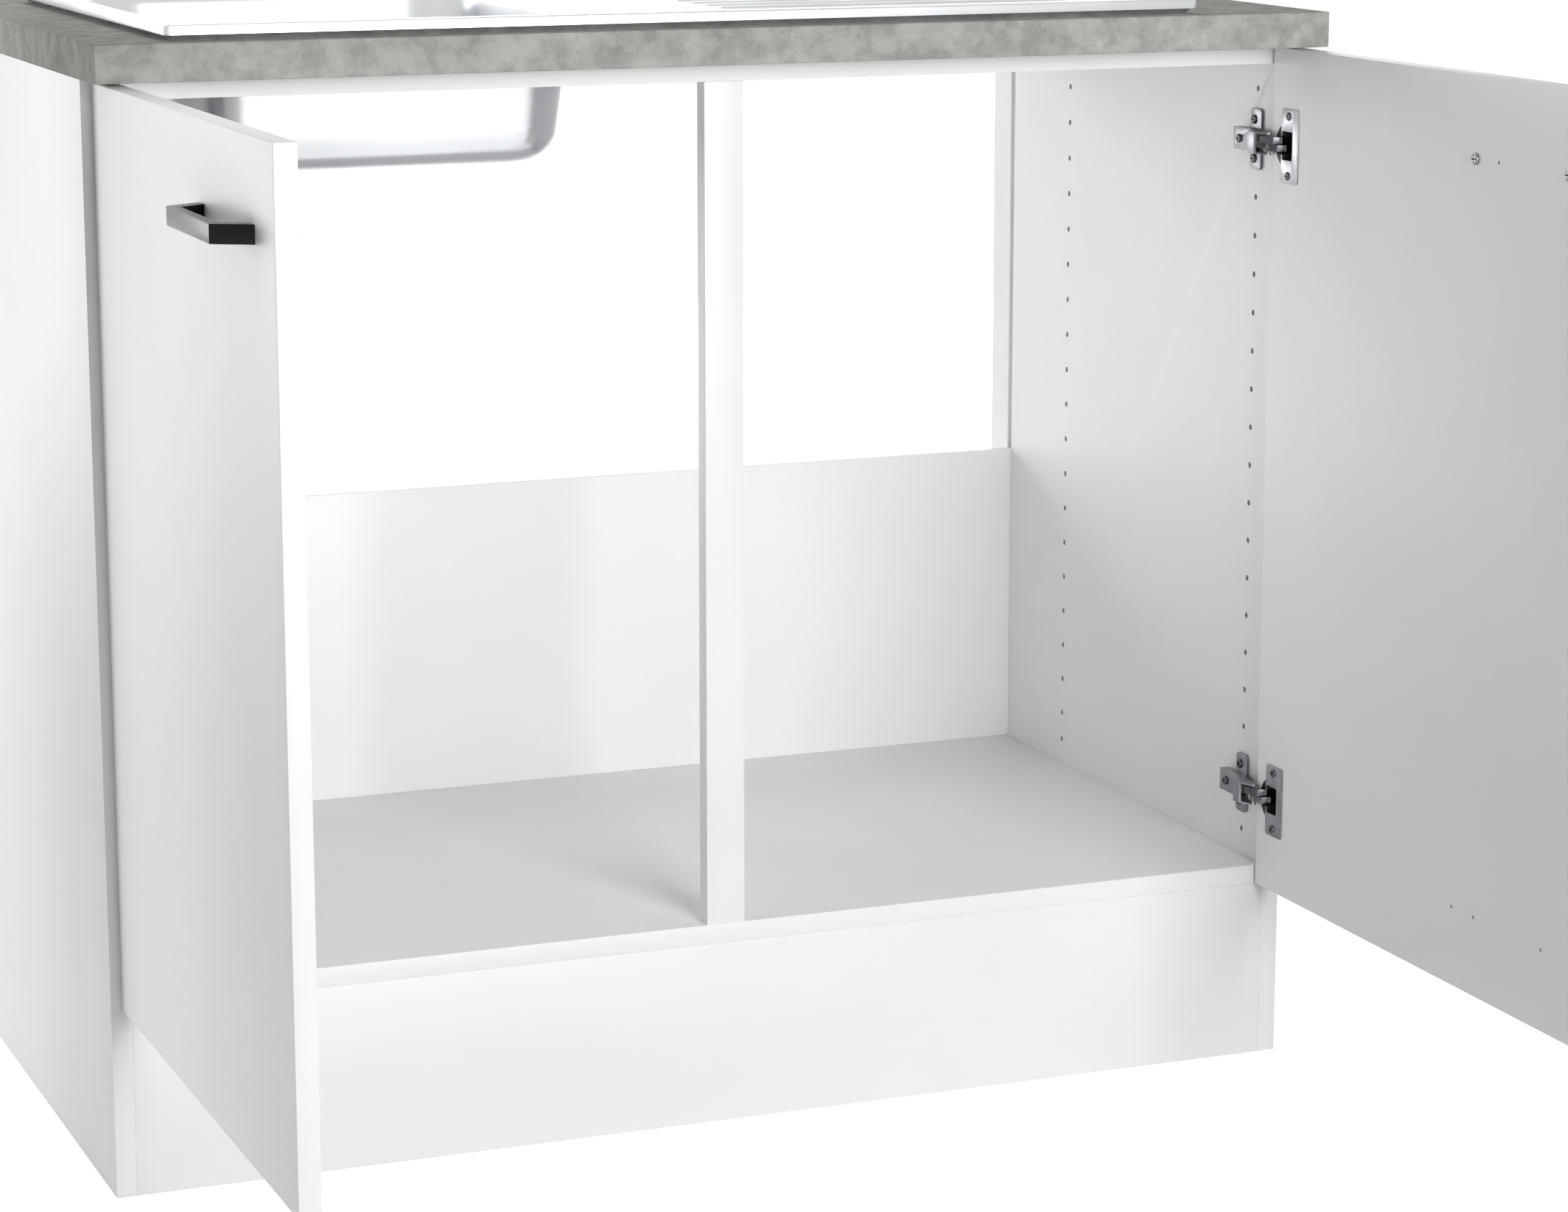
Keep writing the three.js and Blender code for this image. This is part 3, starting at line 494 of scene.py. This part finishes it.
def worktop():
    """The laminated slab, raw underneath and in the sink's cut-out."""
    low, high = reach("worktop")
    sink_low, sink_high = reach("sink")
    slab = soften(block(low, high), TOP_EDGE, segments=3)
    opening = block((sink_low.x + CUTOUT_LAP, sink_low.y + CUTOUT_LAP, low.z - PAST),
                    (sink_high.x - CUTOUT_LAP, sink_high.y - CUTOUT_LAP, high.z + PAST))
    carve(slab, opening)

    def raw(at, normal):
        looks_down = normal.z < -0.99
        upright = abs(normal.z) < 0.5
        inside = low.x + PAST < at.x < high.x - PAST and low.y + PAST < at.y < high.y - PAST
        return looks_down or (inside and upright)
    second_finish(slab, CONCRETE, CHIPBOARD, raw)
    finish(slab, "worktop_slab", "carcase", "concrete_laminate", "worktop")


# ---- Sink --------------------------------------------------------------------------------------

SHEET = 1.0                 # the pressed sheet's thickness
BEAD_WIDTH = 12
BEAD_ROUND = 1.5            # rounding of the bead's edges
BEAD_TO_DECK = 3            # width of the slope from the bead down to the deck
DECK_DROP = 6               # from the bead's top down to the deck
SKIRT = 7.5                 # bright face of the bead
SKIRT_INSET = 2.5           # the sheet is turned in below that face
SKIRT_UNDERCUT = 4          # and slopes in further on its way down to the worktop
SINK_CORNER = 5
INNER_CORNER = 9            # of the bead's inner edge
BOWL = (-409, -83, 58, 408)     # its walls at the top: left, right, front, rear
BOWL_CORNER = 60
BOWL_LIP = 8                # rounding from the deck into the bowl
BOWL_DEPTH = 116
BOWL_TAPER = 12             # how far its walls lean in
BOWL_FOOT = 28              # rounding from its walls into its floor
DRAIN_RADIUS = 45
DRAIN_TURN = 1              # how far the hole's edge is turned down
SEAT_RADIUS = 57            # pressed seat for the waste fitting's flange
SEAT_DEPTH = 2.5
SEAT_SLOPE = 3              # width of the seat's sloped edge
RIDGE_WIDTH = 8
RIDGE_HEIGHT = 2
RIDGE_PITCH = 32.5
RIDGE_COUNT = 11
RIDGES = (25, 330)          # their left and right ends
# Their rounded section, as shares of the half width and of the height
RIDGE_STEPS = [(0.2, 0.1), (0.2, 0.35), (0.2, 0.35), (0.2, 0.2)]


def inset(width, depth=0.0):
    """Inset the selected face by a width and push the new face along its normal."""
    bpy.ops.mesh.inset(thickness=width * MM, depth=depth * MM, use_even_offset=True)


def quarter_steps(radius, count, over):
    """Widths and drops of the steps that round a quarter circle: over a lip or into a foot."""
    turns = [i / count * pi / 2 for i in range(count + 1)]
    if over:
        places = [(radius * sin(t), radius * (1 - cos(t))) for t in turns]
    else:
        places = [(radius * (1 - cos(t)), radius * sin(t)) for t in turns]
    return [(b[0] - a[0], b[1] - a[1]) for a, b in zip(places, places[1:])]


def draw_in(low, high, amount):
    """Move the selected outline of the sink inwards on all sides."""
    centre = ((low.x + high.x) / 2 * MM, (low.y + high.y) / 2 * MM, 0)
    shrink = (1 - 2 * amount / (high.x - low.x), 1 - 2 * amount / (high.y - low.y), 1)
    bpy.ops.transform.resize(value=shrink, center_override=centre)


def sink_tray():
    """The bead and skirt as an open sheet whose inner edge is the deck's outline."""
    low, high = reach("sink")
    top = high.z
    skirt_foot = top - SKIRT
    outer = plate(low.x, high.x, low.y, high.y, top, SINK_CORNER, steps=6)
    bpy.ops.mesh.delete(type="ONLY_FACE")
    bpy.ops.mesh.select_mode(type="EDGE")
    bpy.ops.mesh.select_all(action="SELECT")
    # The bright face, a level step in below it and the slope down to the worktop
    bpy.ops.mesh.extrude_edges_move(TRANSFORM_OT_translate={"value": (0, 0, -SKIRT * MM)})
    bpy.ops.mesh.extrude_edges_move(TRANSFORM_OT_translate={"value": (0, 0, 0)})
    draw_in(low, high, SKIRT_INSET)
    drop = (skirt_foot - reach("worktop")[1].z) * MM
    bpy.ops.mesh.extrude_edges_move(TRANSFORM_OT_translate={"value": (0, 0, -drop)})
    draw_in(low, high, SKIRT_UNDERCUT)
    inner = plate(low.x + BEAD_WIDTH, high.x - BEAD_WIDTH, low.y + BEAD_WIDTH, high.y - BEAD_WIDTH,
                  top, INNER_CORNER, steps=6)
    inset(BEAD_TO_DECK, -DECK_DROP)
    bpy.ops.mesh.delete(type="FACE")
    tray = merge(outer, inner)
    pick(tray, "EDGE", lambda a, b: min(a.z, b.z) > top - SKIN)
    bpy.ops.mesh.bridge_edge_loops()
    bpy.ops.object.mode_set(mode="OBJECT")

    def rim(a, b):
        across_bead = 0.5 * BEAD_WIDTH < (a - b).length < 2 * BEAD_WIDTH
        return min(a.z, b.z) > top - SKIN and not across_bead
    pick(tray, "EDGE", rim)
    bpy.ops.mesh.bevel(offset=BEAD_ROUND * MM, segments=3, affect="EDGES")
    bpy.ops.object.mode_set(mode="OBJECT")
    return tray


def sink_bowl(deck):
    """The bowl as an open sheet, from its opening in the deck to its drain hole."""
    left, right, front, rear = BOWL
    bowl = plate(left - BOWL_LIP, right + BOWL_LIP, front - BOWL_LIP, rear + BOWL_LIP, deck,
                 BOWL_CORNER + BOWL_LIP, steps=12)
    for width, drop in quarter_steps(BOWL_LIP, count=4, over=True):
        inset(width, -drop)
    wall = BOWL_DEPTH - BOWL_LIP - BOWL_FOOT
    inset(BOWL_TAPER, -wall)
    for width, drop in quarter_steps(BOWL_FOOT, count=6, over=False):
        inset(width, -drop)
    bpy.ops.mesh.delete(type="FACE")
    bpy.ops.object.mode_set(mode="OBJECT")
    return bowl


def sink_drain(floor):
    """The ring round the drain hole: floor level outside, a pressed seat and a turned edge."""
    rest()
    left, right, front, rear = BOWL
    centre = ((left + right) / 2 * MM, (front + rear) / 2 * MM, floor * MM)
    bpy.ops.mesh.primitive_circle_add(vertices=64, radius=SEAT_RADIUS * MM, location=centre,
                                      fill_type="NGON")
    ring = settle()
    bpy.ops.object.mode_set(mode="EDIT")
    bpy.ops.mesh.select_all(action="SELECT")
    inset(SEAT_SLOPE / 2, -SEAT_DEPTH / 2)
    inset(SEAT_SLOPE / 2, -SEAT_DEPTH / 2)
    inset(SEAT_RADIUS - SEAT_SLOPE - DRAIN_RADIUS - DRAIN_TURN)
    inset(DRAIN_TURN, -DRAIN_TURN)
    bpy.ops.mesh.delete(type="FACE")
    bpy.ops.object.mode_set(mode="OBJECT")
    return ring


def fill_between(piece, level):
    """Close the flat gap between two outlines at one level with faces."""
    only(piece)
    bpy.ops.object.mode_set(mode="EDIT")
    bpy.ops.mesh.select_mode(type="EDGE")
    bpy.ops.mesh.select_non_manifold(extend=False, use_wire=False, use_boundary=True,
                                     use_multi_face=False, use_non_contiguous=False, use_verts=False)
    bpy.ops.object.mode_set(mode="OBJECT")
    for edge in piece.data.edges:
        ends = [piece.data.vertices[i].co.z / MM for i in edge.vertices]
        edge.select = edge.select and all(abs(z - level) < HAIR for z in ends)
    bpy.ops.object.mode_set(mode="EDIT")
    bpy.ops.mesh.fill(use_beauty=True)
    bpy.ops.object.mode_set(mode="OBJECT")


def drainer_ridges(deck):
    """The ridges as open sheets raised from the deck, each with its edge at deck level."""
    start, end = RIDGES
    centre = (BOWL[2] + BOWL[3]) / 2
    half = RIDGE_WIDTH / 2
    model = plate(start, end, centre - half, centre + half, deck, half, steps=6)
    bpy.ops.mesh.remove_doubles(threshold=HAIR * MM)
    for width, rise in RIDGE_STEPS:
        inset(width * half, rise * RIDGE_HEIGHT)
    bpy.ops.object.mode_set(mode="OBJECT")
    offsets = [(i - (RIDGE_COUNT - 1) / 2) * RIDGE_PITCH for i in range(RIDGE_COUNT)]
    ridges = [copy_of(model, (0, offset, 0)) for offset in offsets]
    bpy.data.objects.remove(model)
    return merge(*ridges)


def sink():
    """Bead, deck, drainer and bowl as one sheet, given its thickness downwards."""
    deck = reach("sink")[1].z - DECK_DROP
    floor = deck - BOWL_DEPTH
    shell = merge(sink_tray(), sink_bowl(deck), sink_drain(floor), drainer_ridges(deck))
    fill_between(shell, deck)
    fill_between(shell, floor)
    only(shell)
    bpy.ops.object.mode_set(mode="EDIT")
    bpy.ops.mesh.select_all(action="SELECT")
    bpy.ops.mesh.remove_doubles(threshold=HAIR * MM)
    bpy.ops.mesh.normals_make_consistent(inside=False)
    bpy.ops.object.mode_set(mode="OBJECT")
    bpy.ops.object.modifier_add(type="SOLIDIFY")
    wall = shell.modifiers[-1]
    wall.thickness = SHEET * MM
    wall.offset = -1
    wall.use_even_offset = True
    bpy.ops.object.modifier_apply(modifier=wall.name)
    flats = (deck, deck - SHEET, floor, floor - SHEET)
    pick(shell, "EDGE", lambda a, b: any(max(abs(a.z - z), abs(b.z - z)) < HAIR for z in flats))
    bpy.ops.mesh.mark_sharp()
    bpy.ops.object.mode_set(mode="OBJECT")
    finish(shell, "steel_sink", "carcase", "sink_steel", "sink", STAINLESS, angle=35)


# ---- Doors, handles and hinges, modelled for the left door -------------------------------------

DOOR_EDGE = 0.6             # rounding of the doors' edges
CUP_BORE_PLAY = 0.3
CUP_SCREW_BORE_RADIUS = 2.2
HANDLE_SCREW_BORE_RADIUS = 2.3
PILOT_RADIUS = 1.5
PILOT_DEPTH = 1.5
SHORT_HANDLE = 96           # between the screws of the shorter handle that the pilots are for
# A pan-head screw, the first four as shares of the head's radius, the others of its height
SCREW_HEAD_HEIGHT = 0.5
SCREW_SHANK_RADIUS = 0.5
SCREW_CROSS_WIDTH = 0.24
SCREW_CROSS_LENGTH = 0.62   # from the middle to the cross's tips
SCREW_CROSS_DEPTH = 0.65
SCREW_HEAD_ROUND = 0.75
SCREW_SHANK_LAP = 0.4       # how far the shank runs up into the head
CROSS_SKIN = 0.02           # millimetres that still count as on the cross's faces
CUP_RADIUS = 17.5
CUP_LAP = 0.4               # how far the cup runs up into the flange
CUP_SCREW_REACH = 9.3       # how deep the cup's screws go into the door
FLANGE_NEAR = 6.5           # from the cup's middle to the flange's edge by the hinge
FLANGE_CORNER = 3
FLANGE_EDGE = 0.3           # rounding of its edges and the cup's
FLANGE_CREASE = 12.5        # from the cup's middle to the line where the flange slopes down
FLANGE_SLOPE = 4            # degrees
POCKET_FAR = 11.5           # the links' pocket, from the cup's middle
POCKET_NEAR = 15.6
POCKET_NARROW = 7           # its half heights by the hinge and under the flange
POCKET_WIDE = 11.5
POCKET_DEPTH = 11.2
POCKET_CORNER = 1.2
EYE_RADIUS = 2.3            # of the links' round ends
PIN_RADIUS = 1.2
PIN_START = 0.2             # from the cup's middle height
PIN_IN_WALL = 0.5
SHADE_REACH = 16.5           # how far from the cup's middle the pocket's faces get painted shade, almost black
SHADE_RISE = 0.3             # and how far above the door
WING_FRONT = 11             # the plate's wings, from their screws to the front and to the rear
WING_REAR = 7
WING_THICK = 2.5
WING_CORNER = 3.5
PLATE_HALF = 6.5            # half the height of the plate's middle block
PLATE_EDGE = 0.27           # rounding of the plate's edges
HANDLE_BAR = 8              # thickness of the handle's bar
HANDLE_FOOT = 14            # width of its feet on the door
HANDLE_SLANT = 15           # how far the feet's outer sides lean in
HANDLE_EDGE = 0.7
FINE_EDGE = 0.18            # rounding of the small pressed parts


def door_board():
    """The left door, open, with its bores for the cups, their screws and the handle's."""
    low, high = reach("left_door")
    inner = high.x
    board = soften(block(low, high), DOOR_EDGE, segments=3)
    tools = []
    for level in LEVELS:
        cup = reach(f"left_{level}_hinge_cup")
        centre = (cup[1].y - CUP_RADIUS, (cup[0].z + cup[1].z) / 2)
        bore_floor = cup[0].x - CUP_BORE_PLAY
        tools.append(rod(CUP_RADIUS + CUP_BORE_PLAY, "x", bore_floor, inner + PAST, centre, sides=48))
        for number in (1, 2):
            spot = middle(f"left_{level}_cup_screw_{number}")
            tools.append(rod(CUP_SCREW_BORE_RADIUS, "x", inner - CUP_SCREW_REACH, inner + PAST,
                             (spot.y, spot.z), sides=12))
    first, second = [middle(f"left_handle_screw_{number}") for number in (1, 2)]
    for spot in (first, second):
        tools.append(rod(HANDLE_SCREW_BORE_RADIUS, "x", low.x - PAST, inner + PAST,
                         (spot.y, spot.z), sides=16))
    # Pilots for a shorter handle, and for either handle at the door's other end
    short = first.y + SHORT_HANDLE
    other_end = low.z + high.z - first.z
    pilots = [(first.y, other_end), (short, other_end), (second.y, other_end), (short, first.z)]
    for pilot in pilots:
        tools.append(rod(PILOT_RADIUS, "x", inner - PILOT_DEPTH, inner + PAST, pilot, sides=16))
    carve(board, merge(*tools))

    def drilled(at, normal):
        inside = low.x + PAST < at.x < inner - SKIN and low.y + PAST < at.y < high.y - PAST
        return inside and low.z + PAST < at.z < high.z - PAST
    second_finish(board, WHITE, CHIPBOARD, drilled)
    return board


def taper(piece, outer_x, pull):
    """Draw in both ends of a bar's outer side, so that its feet slant."""
    low_y = min(v.co.y for v in piece.data.vertices) / MM
    high_y = max(v.co.y for v in piece.data.vertices) / MM
    for end, way in ((low_y, pull), (high_y, -pull)):
        pick(piece, "VERT", lambda at: abs(at.x - outer_x) < HAIR and abs(at.y - end) < HAIR)
        bpy.ops.transform.translate(value=(0, way * MM, 0))
    bpy.ops.object.mode_set(mode="OBJECT")
    return piece


def handle():
    """The left handle: a bar whose two feet slant, with an open gap behind it."""
    low, high = reach("left_handle")
    bar = taper(block(low, high), low.x, HANDLE_SLANT)
    lean = HANDLE_SLANT / (high.x - low.x)
    gap_outer = low.x + HANDLE_BAR
    gap = block((gap_outer, low.y + HANDLE_FOOT, low.z - PAST),
                (high.x + PAST, high.y - HANDLE_FOOT + PAST * lean, high.z + PAST))
    taper(gap, gap_outer, lean * (high.x + PAST - gap_outer))
    return soften(carve(bar, gap), HANDLE_EDGE, segments=3)


def screw(node_name, plating):
    """A pan-head screw with a cross recess, where its node is. Its head looks to +X."""
    low, high = reach(node_name)
    y, z = middle(node_name).yz
    head_radius = (high.z - low.z) / 2
    head_height = head_radius * SCREW_HEAD_HEIGHT
    seat = high.x - head_height
    head = rod(head_radius, "x", seat, high.x, (y, z), sides=28)
    pick(head, "EDGE", lambda a, b: min(a.x, b.x) > high.x - HAIR)
    bpy.ops.mesh.bevel(offset=head_height * SCREW_HEAD_ROUND * MM, segments=4, affect="EDGES")
    bpy.ops.object.mode_set(mode="OBJECT")
    shank = rod(head_radius * SCREW_SHANK_RADIUS, "x", low.x, seat + SCREW_SHANK_LAP * head_height,
                (y, z), sides=16)
    carve(head, shank, "UNION")
    wide = head_radius * SCREW_CROSS_WIDTH / 2
    long = head_radius * SCREW_CROSS_LENGTH
    floor = high.x - head_height * SCREW_CROSS_DEPTH
    first = block((floor, y - wide, z - long), (high.x + PAST, y + wide, z + long))
    second = block((floor, y - long, z - wide), (high.x + PAST, y + long, z + wide))
    carve(head, carve(first, second, "UNION"))

    def recess(at, normal):
        in_depth = floor - HAIR <= at.x < high.x - CROSS_SKIN
        return in_depth and hypot(at.y - y, at.z - z) < long + CROSS_SKIN
    # The cross recess is painted almost black, as the shade in it
    second_finish(head, plating, PAINTED_SHADE, recess)
    return head


def hinge_cup(level):
    """The round cup in the door's bore, its pocket for the links and its flange on the door."""
    low, high = reach(f"left_{level}_hinge_cup")
    flange_back = reach("left_door")[1].x
    cup_y = high.y - CUP_RADIUS
    cup_z = (low.z + high.z) / 2
    flange = block((flange_back, low.y, low.z), (high.x, cup_y + FLANGE_NEAR, high.z))
    pick(flange, "EDGE", along("x"))
    bpy.ops.mesh.bevel(offset=FLANGE_CORNER * MM, segments=5, affect="EDGES")
    bpy.ops.mesh.select_all(action="SELECT")
    crease = (high.x * MM, (cup_y - FLANGE_CREASE) * MM, cup_z * MM)
    bpy.ops.mesh.bisect(plane_co=crease, plane_no=(0, 1, 0))
    pick(flange, "VERT", lambda at: at.x > high.x - HAIR and at.y < cup_y - FLANGE_CREASE - HAIR)
    bpy.ops.transform.rotate(value=radians(FLANGE_SLOPE), orient_axis="Z", center_override=crease)
    bpy.ops.object.mode_set(mode="OBJECT")
    cup = rod(CUP_RADIUS, "x", low.x, flange_back + CUP_LAP, (cup_y, cup_z), sides=48)
    carve(flange, cup, "UNION")
    # Past the flange the cup's rim lies level with the door, so that the links clear it
    past_flange = block((flange_back, cup_y + FLANGE_NEAR + PAST, low.z),
                        (high.x + PAST, high.y + PAST, high.z))
    carve(flange, past_flange)
    floor = flange_back - POCKET_DEPTH
    far = cup_y - POCKET_FAR
    narrow = block((floor, far, cup_z - POCKET_NARROW),
                   (high.x + PAST, cup_y + POCKET_NEAR, cup_z + POCKET_NARROW))
    wide = block((floor, far, cup_z - POCKET_WIDE),
                 (high.x + PAST, cup_y + FLANGE_NEAR - PAST, cup_z + POCKET_WIDE))
    pocket = carve(wide, narrow, "UNION")
    pick(pocket, "EDGE", along("x"))
    bpy.ops.mesh.bevel(offset=POCKET_CORNER * MM, segments=3, affect="EDGES")
    bpy.ops.object.mode_set(mode="OBJECT")
    carve(flange, pocket)
    link = reach(f"left_{level}_outer_link")[0]
    pin = rod(PIN_RADIUS, "z", cup_z + PIN_START, cup_z + POCKET_NARROW + PIN_IN_WALL,
              (link.x + EYE_RADIUS, link.y + EYE_RADIUS), sides=12)
    carve(flange, pin, "UNION")
    soften(flange, FLANGE_EDGE, angle=50)

    def shaded_pocket(at, normal):
        in_width = far - SKIN < at.y < cup_y + POCKET_NEAR + SKIN and abs(at.z - cup_z) < POCKET_WIDE + SKIN
        in_depth = floor - SKIN < at.x < flange_back + SHADE_RISE
        return in_width and in_depth and hypot(at.y - cup_y, at.z - cup_z) < SHADE_REACH
    # The pocket's faces near the cup's middle are painted almost black, as shade
    second_finish(flange, CUP_NICKEL, PAINTED_SHADE, shaded_pocket)
    return flange


def hinge_plate(level):
    """The plate on the side board: a middle block under the arm, between two screwed wings."""
    low, high = reach(f"left_{level}_hinge_plate")
    centre_z = (low.z + high.z) / 2
    screw_y = middle(f"left_{level}_plate_screw_1").y
    wings = block((low.x, screw_y - WING_FRONT, low.z), (low.x + WING_THICK, screw_y + WING_REAR, high.z))
    pick(wings, "EDGE", along("x"))
    bpy.ops.mesh.bevel(offset=WING_CORNER * MM, segments=6, affect="EDGES")
    bpy.ops.object.mode_set(mode="OBJECT")
    body = block((low.x, low.y, centre_z - PLATE_HALF), (high.x, high.y, centre_z + PLATE_HALF))
    carve(wings, body, "UNION")
    return soften(wings, PLATE_EDGE, angle=50)


def door_fittings():
    """Every piece of the left door and its hinges, as piece, name, slot, body and materials."""
    door = "left_door_assembly"
    rows = [
        (door_board(), "door", "white_board", door, ()),
        (handle(), "handle", "handle_black", door, (BLACK,)),
    ]
    for name in ("handle_screw_1", "handle_screw_2"):
        rows.append((screw(f"left_{name}", CUP_NICKEL), name, "screw_steel", door, ()))
    for level in LEVELS:
        rows.append((hinge_cup(level), f"{level}_hinge_cup", "cup_steel", door, ()))
        rows.append((hinge_plate(level), f"{level}_hinge_plate", "hinge_steel", "carcase", (NICKEL,)))
        for name, body, plating in (("hinge_arm", "carcase", NICKEL),
                                    ("outer_link", "left_outer_links", SHADED_LINK_NICKEL),
                                    ("inner_link", "left_inner_links", SHADED_LINK_NICKEL)):
            piece = soften(merged_copy(f"left_{level}_{name}"), FINE_EDGE, angle=40)
            rows.append((piece, f"{level}_{name}", "hinge_steel", body, (plating,)))
        for name, body in (("arm_screw", "carcase"), ("cup_screw_1", door), ("cup_screw_2", door),
                           ("plate_screw_1", "carcase"), ("plate_screw_2", "carcase")):
            piece = screw(f"left_{level}_{name}", ZINC)
            rows.append((piece, f"{level}_{name}", "screw_steel", body, ()))
    return rows


def both_doors():
    """The left door's pieces and their mirrored twins, each standing for its own node."""
    for piece, name, slot, body, paint in door_fittings():
        twin = mirror_of(piece)
        right_body = body.replace("left_", "right_")
        finish(piece, f"left_{name}_shown", body, slot, f"left_{name}", *paint)
        finish(twin, f"right_{name}_shown", right_body, slot, f"right_{name}", *paint)


# ---- Light, floor and camera -------------------------------------------------------------------

AMBIENT = 0.14              # strength of the white world as a light
FLOOR_SIZE = 40             # metres
FLOOR_DROP = 0.5            # millimetres from the cabinet's foot down to the floor
FLOOR_GREY = 0.8
FLOOR_LIFT = 0.94           # how much brighter the floor looks to the camera and in mirrors


def seen_or_mirrored(tree):
    """1 for rays that the camera, a reflection or glass sends, 0 for those that carry light."""
    path = add_node(tree, "LightPath")
    seen = add_node(tree, "Math", {0: (path, "Is Camera Ray"), 1: (path, "Is Glossy Ray")},
                    operation="MAXIMUM")
    return add_node(tree, "Math", {0: (seen, 0), 1: (path, "Is Transmission Ray")},
                    operation="MAXIMUM")


def white_world():
    """White to the camera and in mirrors, a weak even light otherwise."""
    world = bpy.data.worlds.new("studio")
    bpy.context.scene.world = world
    world.use_nodes = True
    tree = world.node_tree
    tree.nodes.clear()
    lit = add_node(tree, "Background", Color=(1, 1, 1, 1), Strength=AMBIENT)
    shown = add_node(tree, "Background", Color=(1, 1, 1, 1), Strength=1.0)
    mix = add_node(tree, "MixShader", {0: (seen_or_mirrored(tree), 0), 1: (lit, 0), 2: (shown, 0)})
    add_node(tree, "OutputWorld", {"Surface": (mix, 0)})


def pale_floor():
    """A plain pale floor that keeps the cabinet's shadow and looks nearly white."""
    rest()
    bpy.ops.mesh.primitive_plane_add(size=FLOOR_SIZE, location=(0, 0, -FLOOR_DROP * MM))
    floor = settle()
    floor.name = "studio_floor"
    material, tree, shader, _ = new_material(
        "studio_floor", Roughness=1.0, Specular_IOR_Level=0.0,
        Base_Color=(FLOOR_GREY, FLOOR_GREY, FLOOR_GREY, 1))
    strength = add_node(tree, "Math", {0: (seen_or_mirrored(tree), 0)}, operation="MULTIPLY")
    strength.inputs[1].default_value = FLOOR_LIFT
    lift = add_node(tree, "Emission", {"Strength": (strength, 0)}, Color=(1, 1, 1, 1))
    both = add_node(tree, "AddShader", {0: (shader, 0), 1: (lift, 0)})
    feed(tree, tree.nodes["Material Output"], {"Surface": (both, 0)})
    floor.data.materials.append(material)


LIT_POINT = Vector((0, 0, 0.45))    # metres, as the lamps' distance and sides are
LAMP_DISTANCE = 5.0
# Angle from the front round to the right, angle up, side of the square, watts
SOFT_BOXES = {
    "front_soft_box": (5, 13, 2.0, 163),
    "left_rear_soft_box": (-140, 4, 2.5, 98),
    "right_rear_soft_box": (155, 4, 2.5, 45),
    "high_rear_soft_box": (-165, 40, 5.5, 108),
}


def soft_box(name, turn, lift, side, power):
    """A large square lamp that looks at the cabinet's middle."""
    rest()
    turn, lift = radians(turn), radians(lift)
    way = Vector((sin(turn) * cos(lift), -cos(turn) * cos(lift), sin(lift)))
    bpy.ops.object.light_add(type="AREA", location=LIT_POINT + LAMP_DISTANCE * way)
    lamp = bpy.context.object
    lamp.name = name
    lamp.data.shape = "SQUARE"
    lamp.data.size = side
    lamp.data.energy = power
    lamp.rotation_euler = (-way).to_track_quat("-Z", "Y").to_euler()


def lights():
    """All the lamps."""
    for name, values in SOFT_BOXES.items():
        soft_box(name, *values)


PHOTO_WIDTH = 2184          # pixels
CAMERA_PLACE = (-1.1688, -3.0309, 1.0943)   # metres
CAMERA_YAW = 21.959         # degrees to the right of straight ahead
CAMERA_PITCH = -11.681      # degrees up
CAMERA_FOCAL = 5847.9       # in pixels of the photograph's frame
SENSOR_WIDTH = 36           # millimetres


def camera():
    """The photograph's view, as fitted from the boards' edges."""
    rest()
    turn = (radians(90 + CAMERA_PITCH), 0, radians(-CAMERA_YAW))
    bpy.ops.object.camera_add(location=CAMERA_PLACE, rotation=turn)
    view = bpy.context.object
    view.data.sensor_width = SENSOR_WIDTH
    view.data.lens = CAMERA_FOCAL / PHOTO_WIDTH * SENSOR_WIDTH
    bpy.context.scene.camera = view


bpy.context.scene.view_settings.view_transform = "Standard"
side_boards()
plain_boards()
worktop()
sink()
both_doors()
white_world()
pale_floor()
lights()
camera()
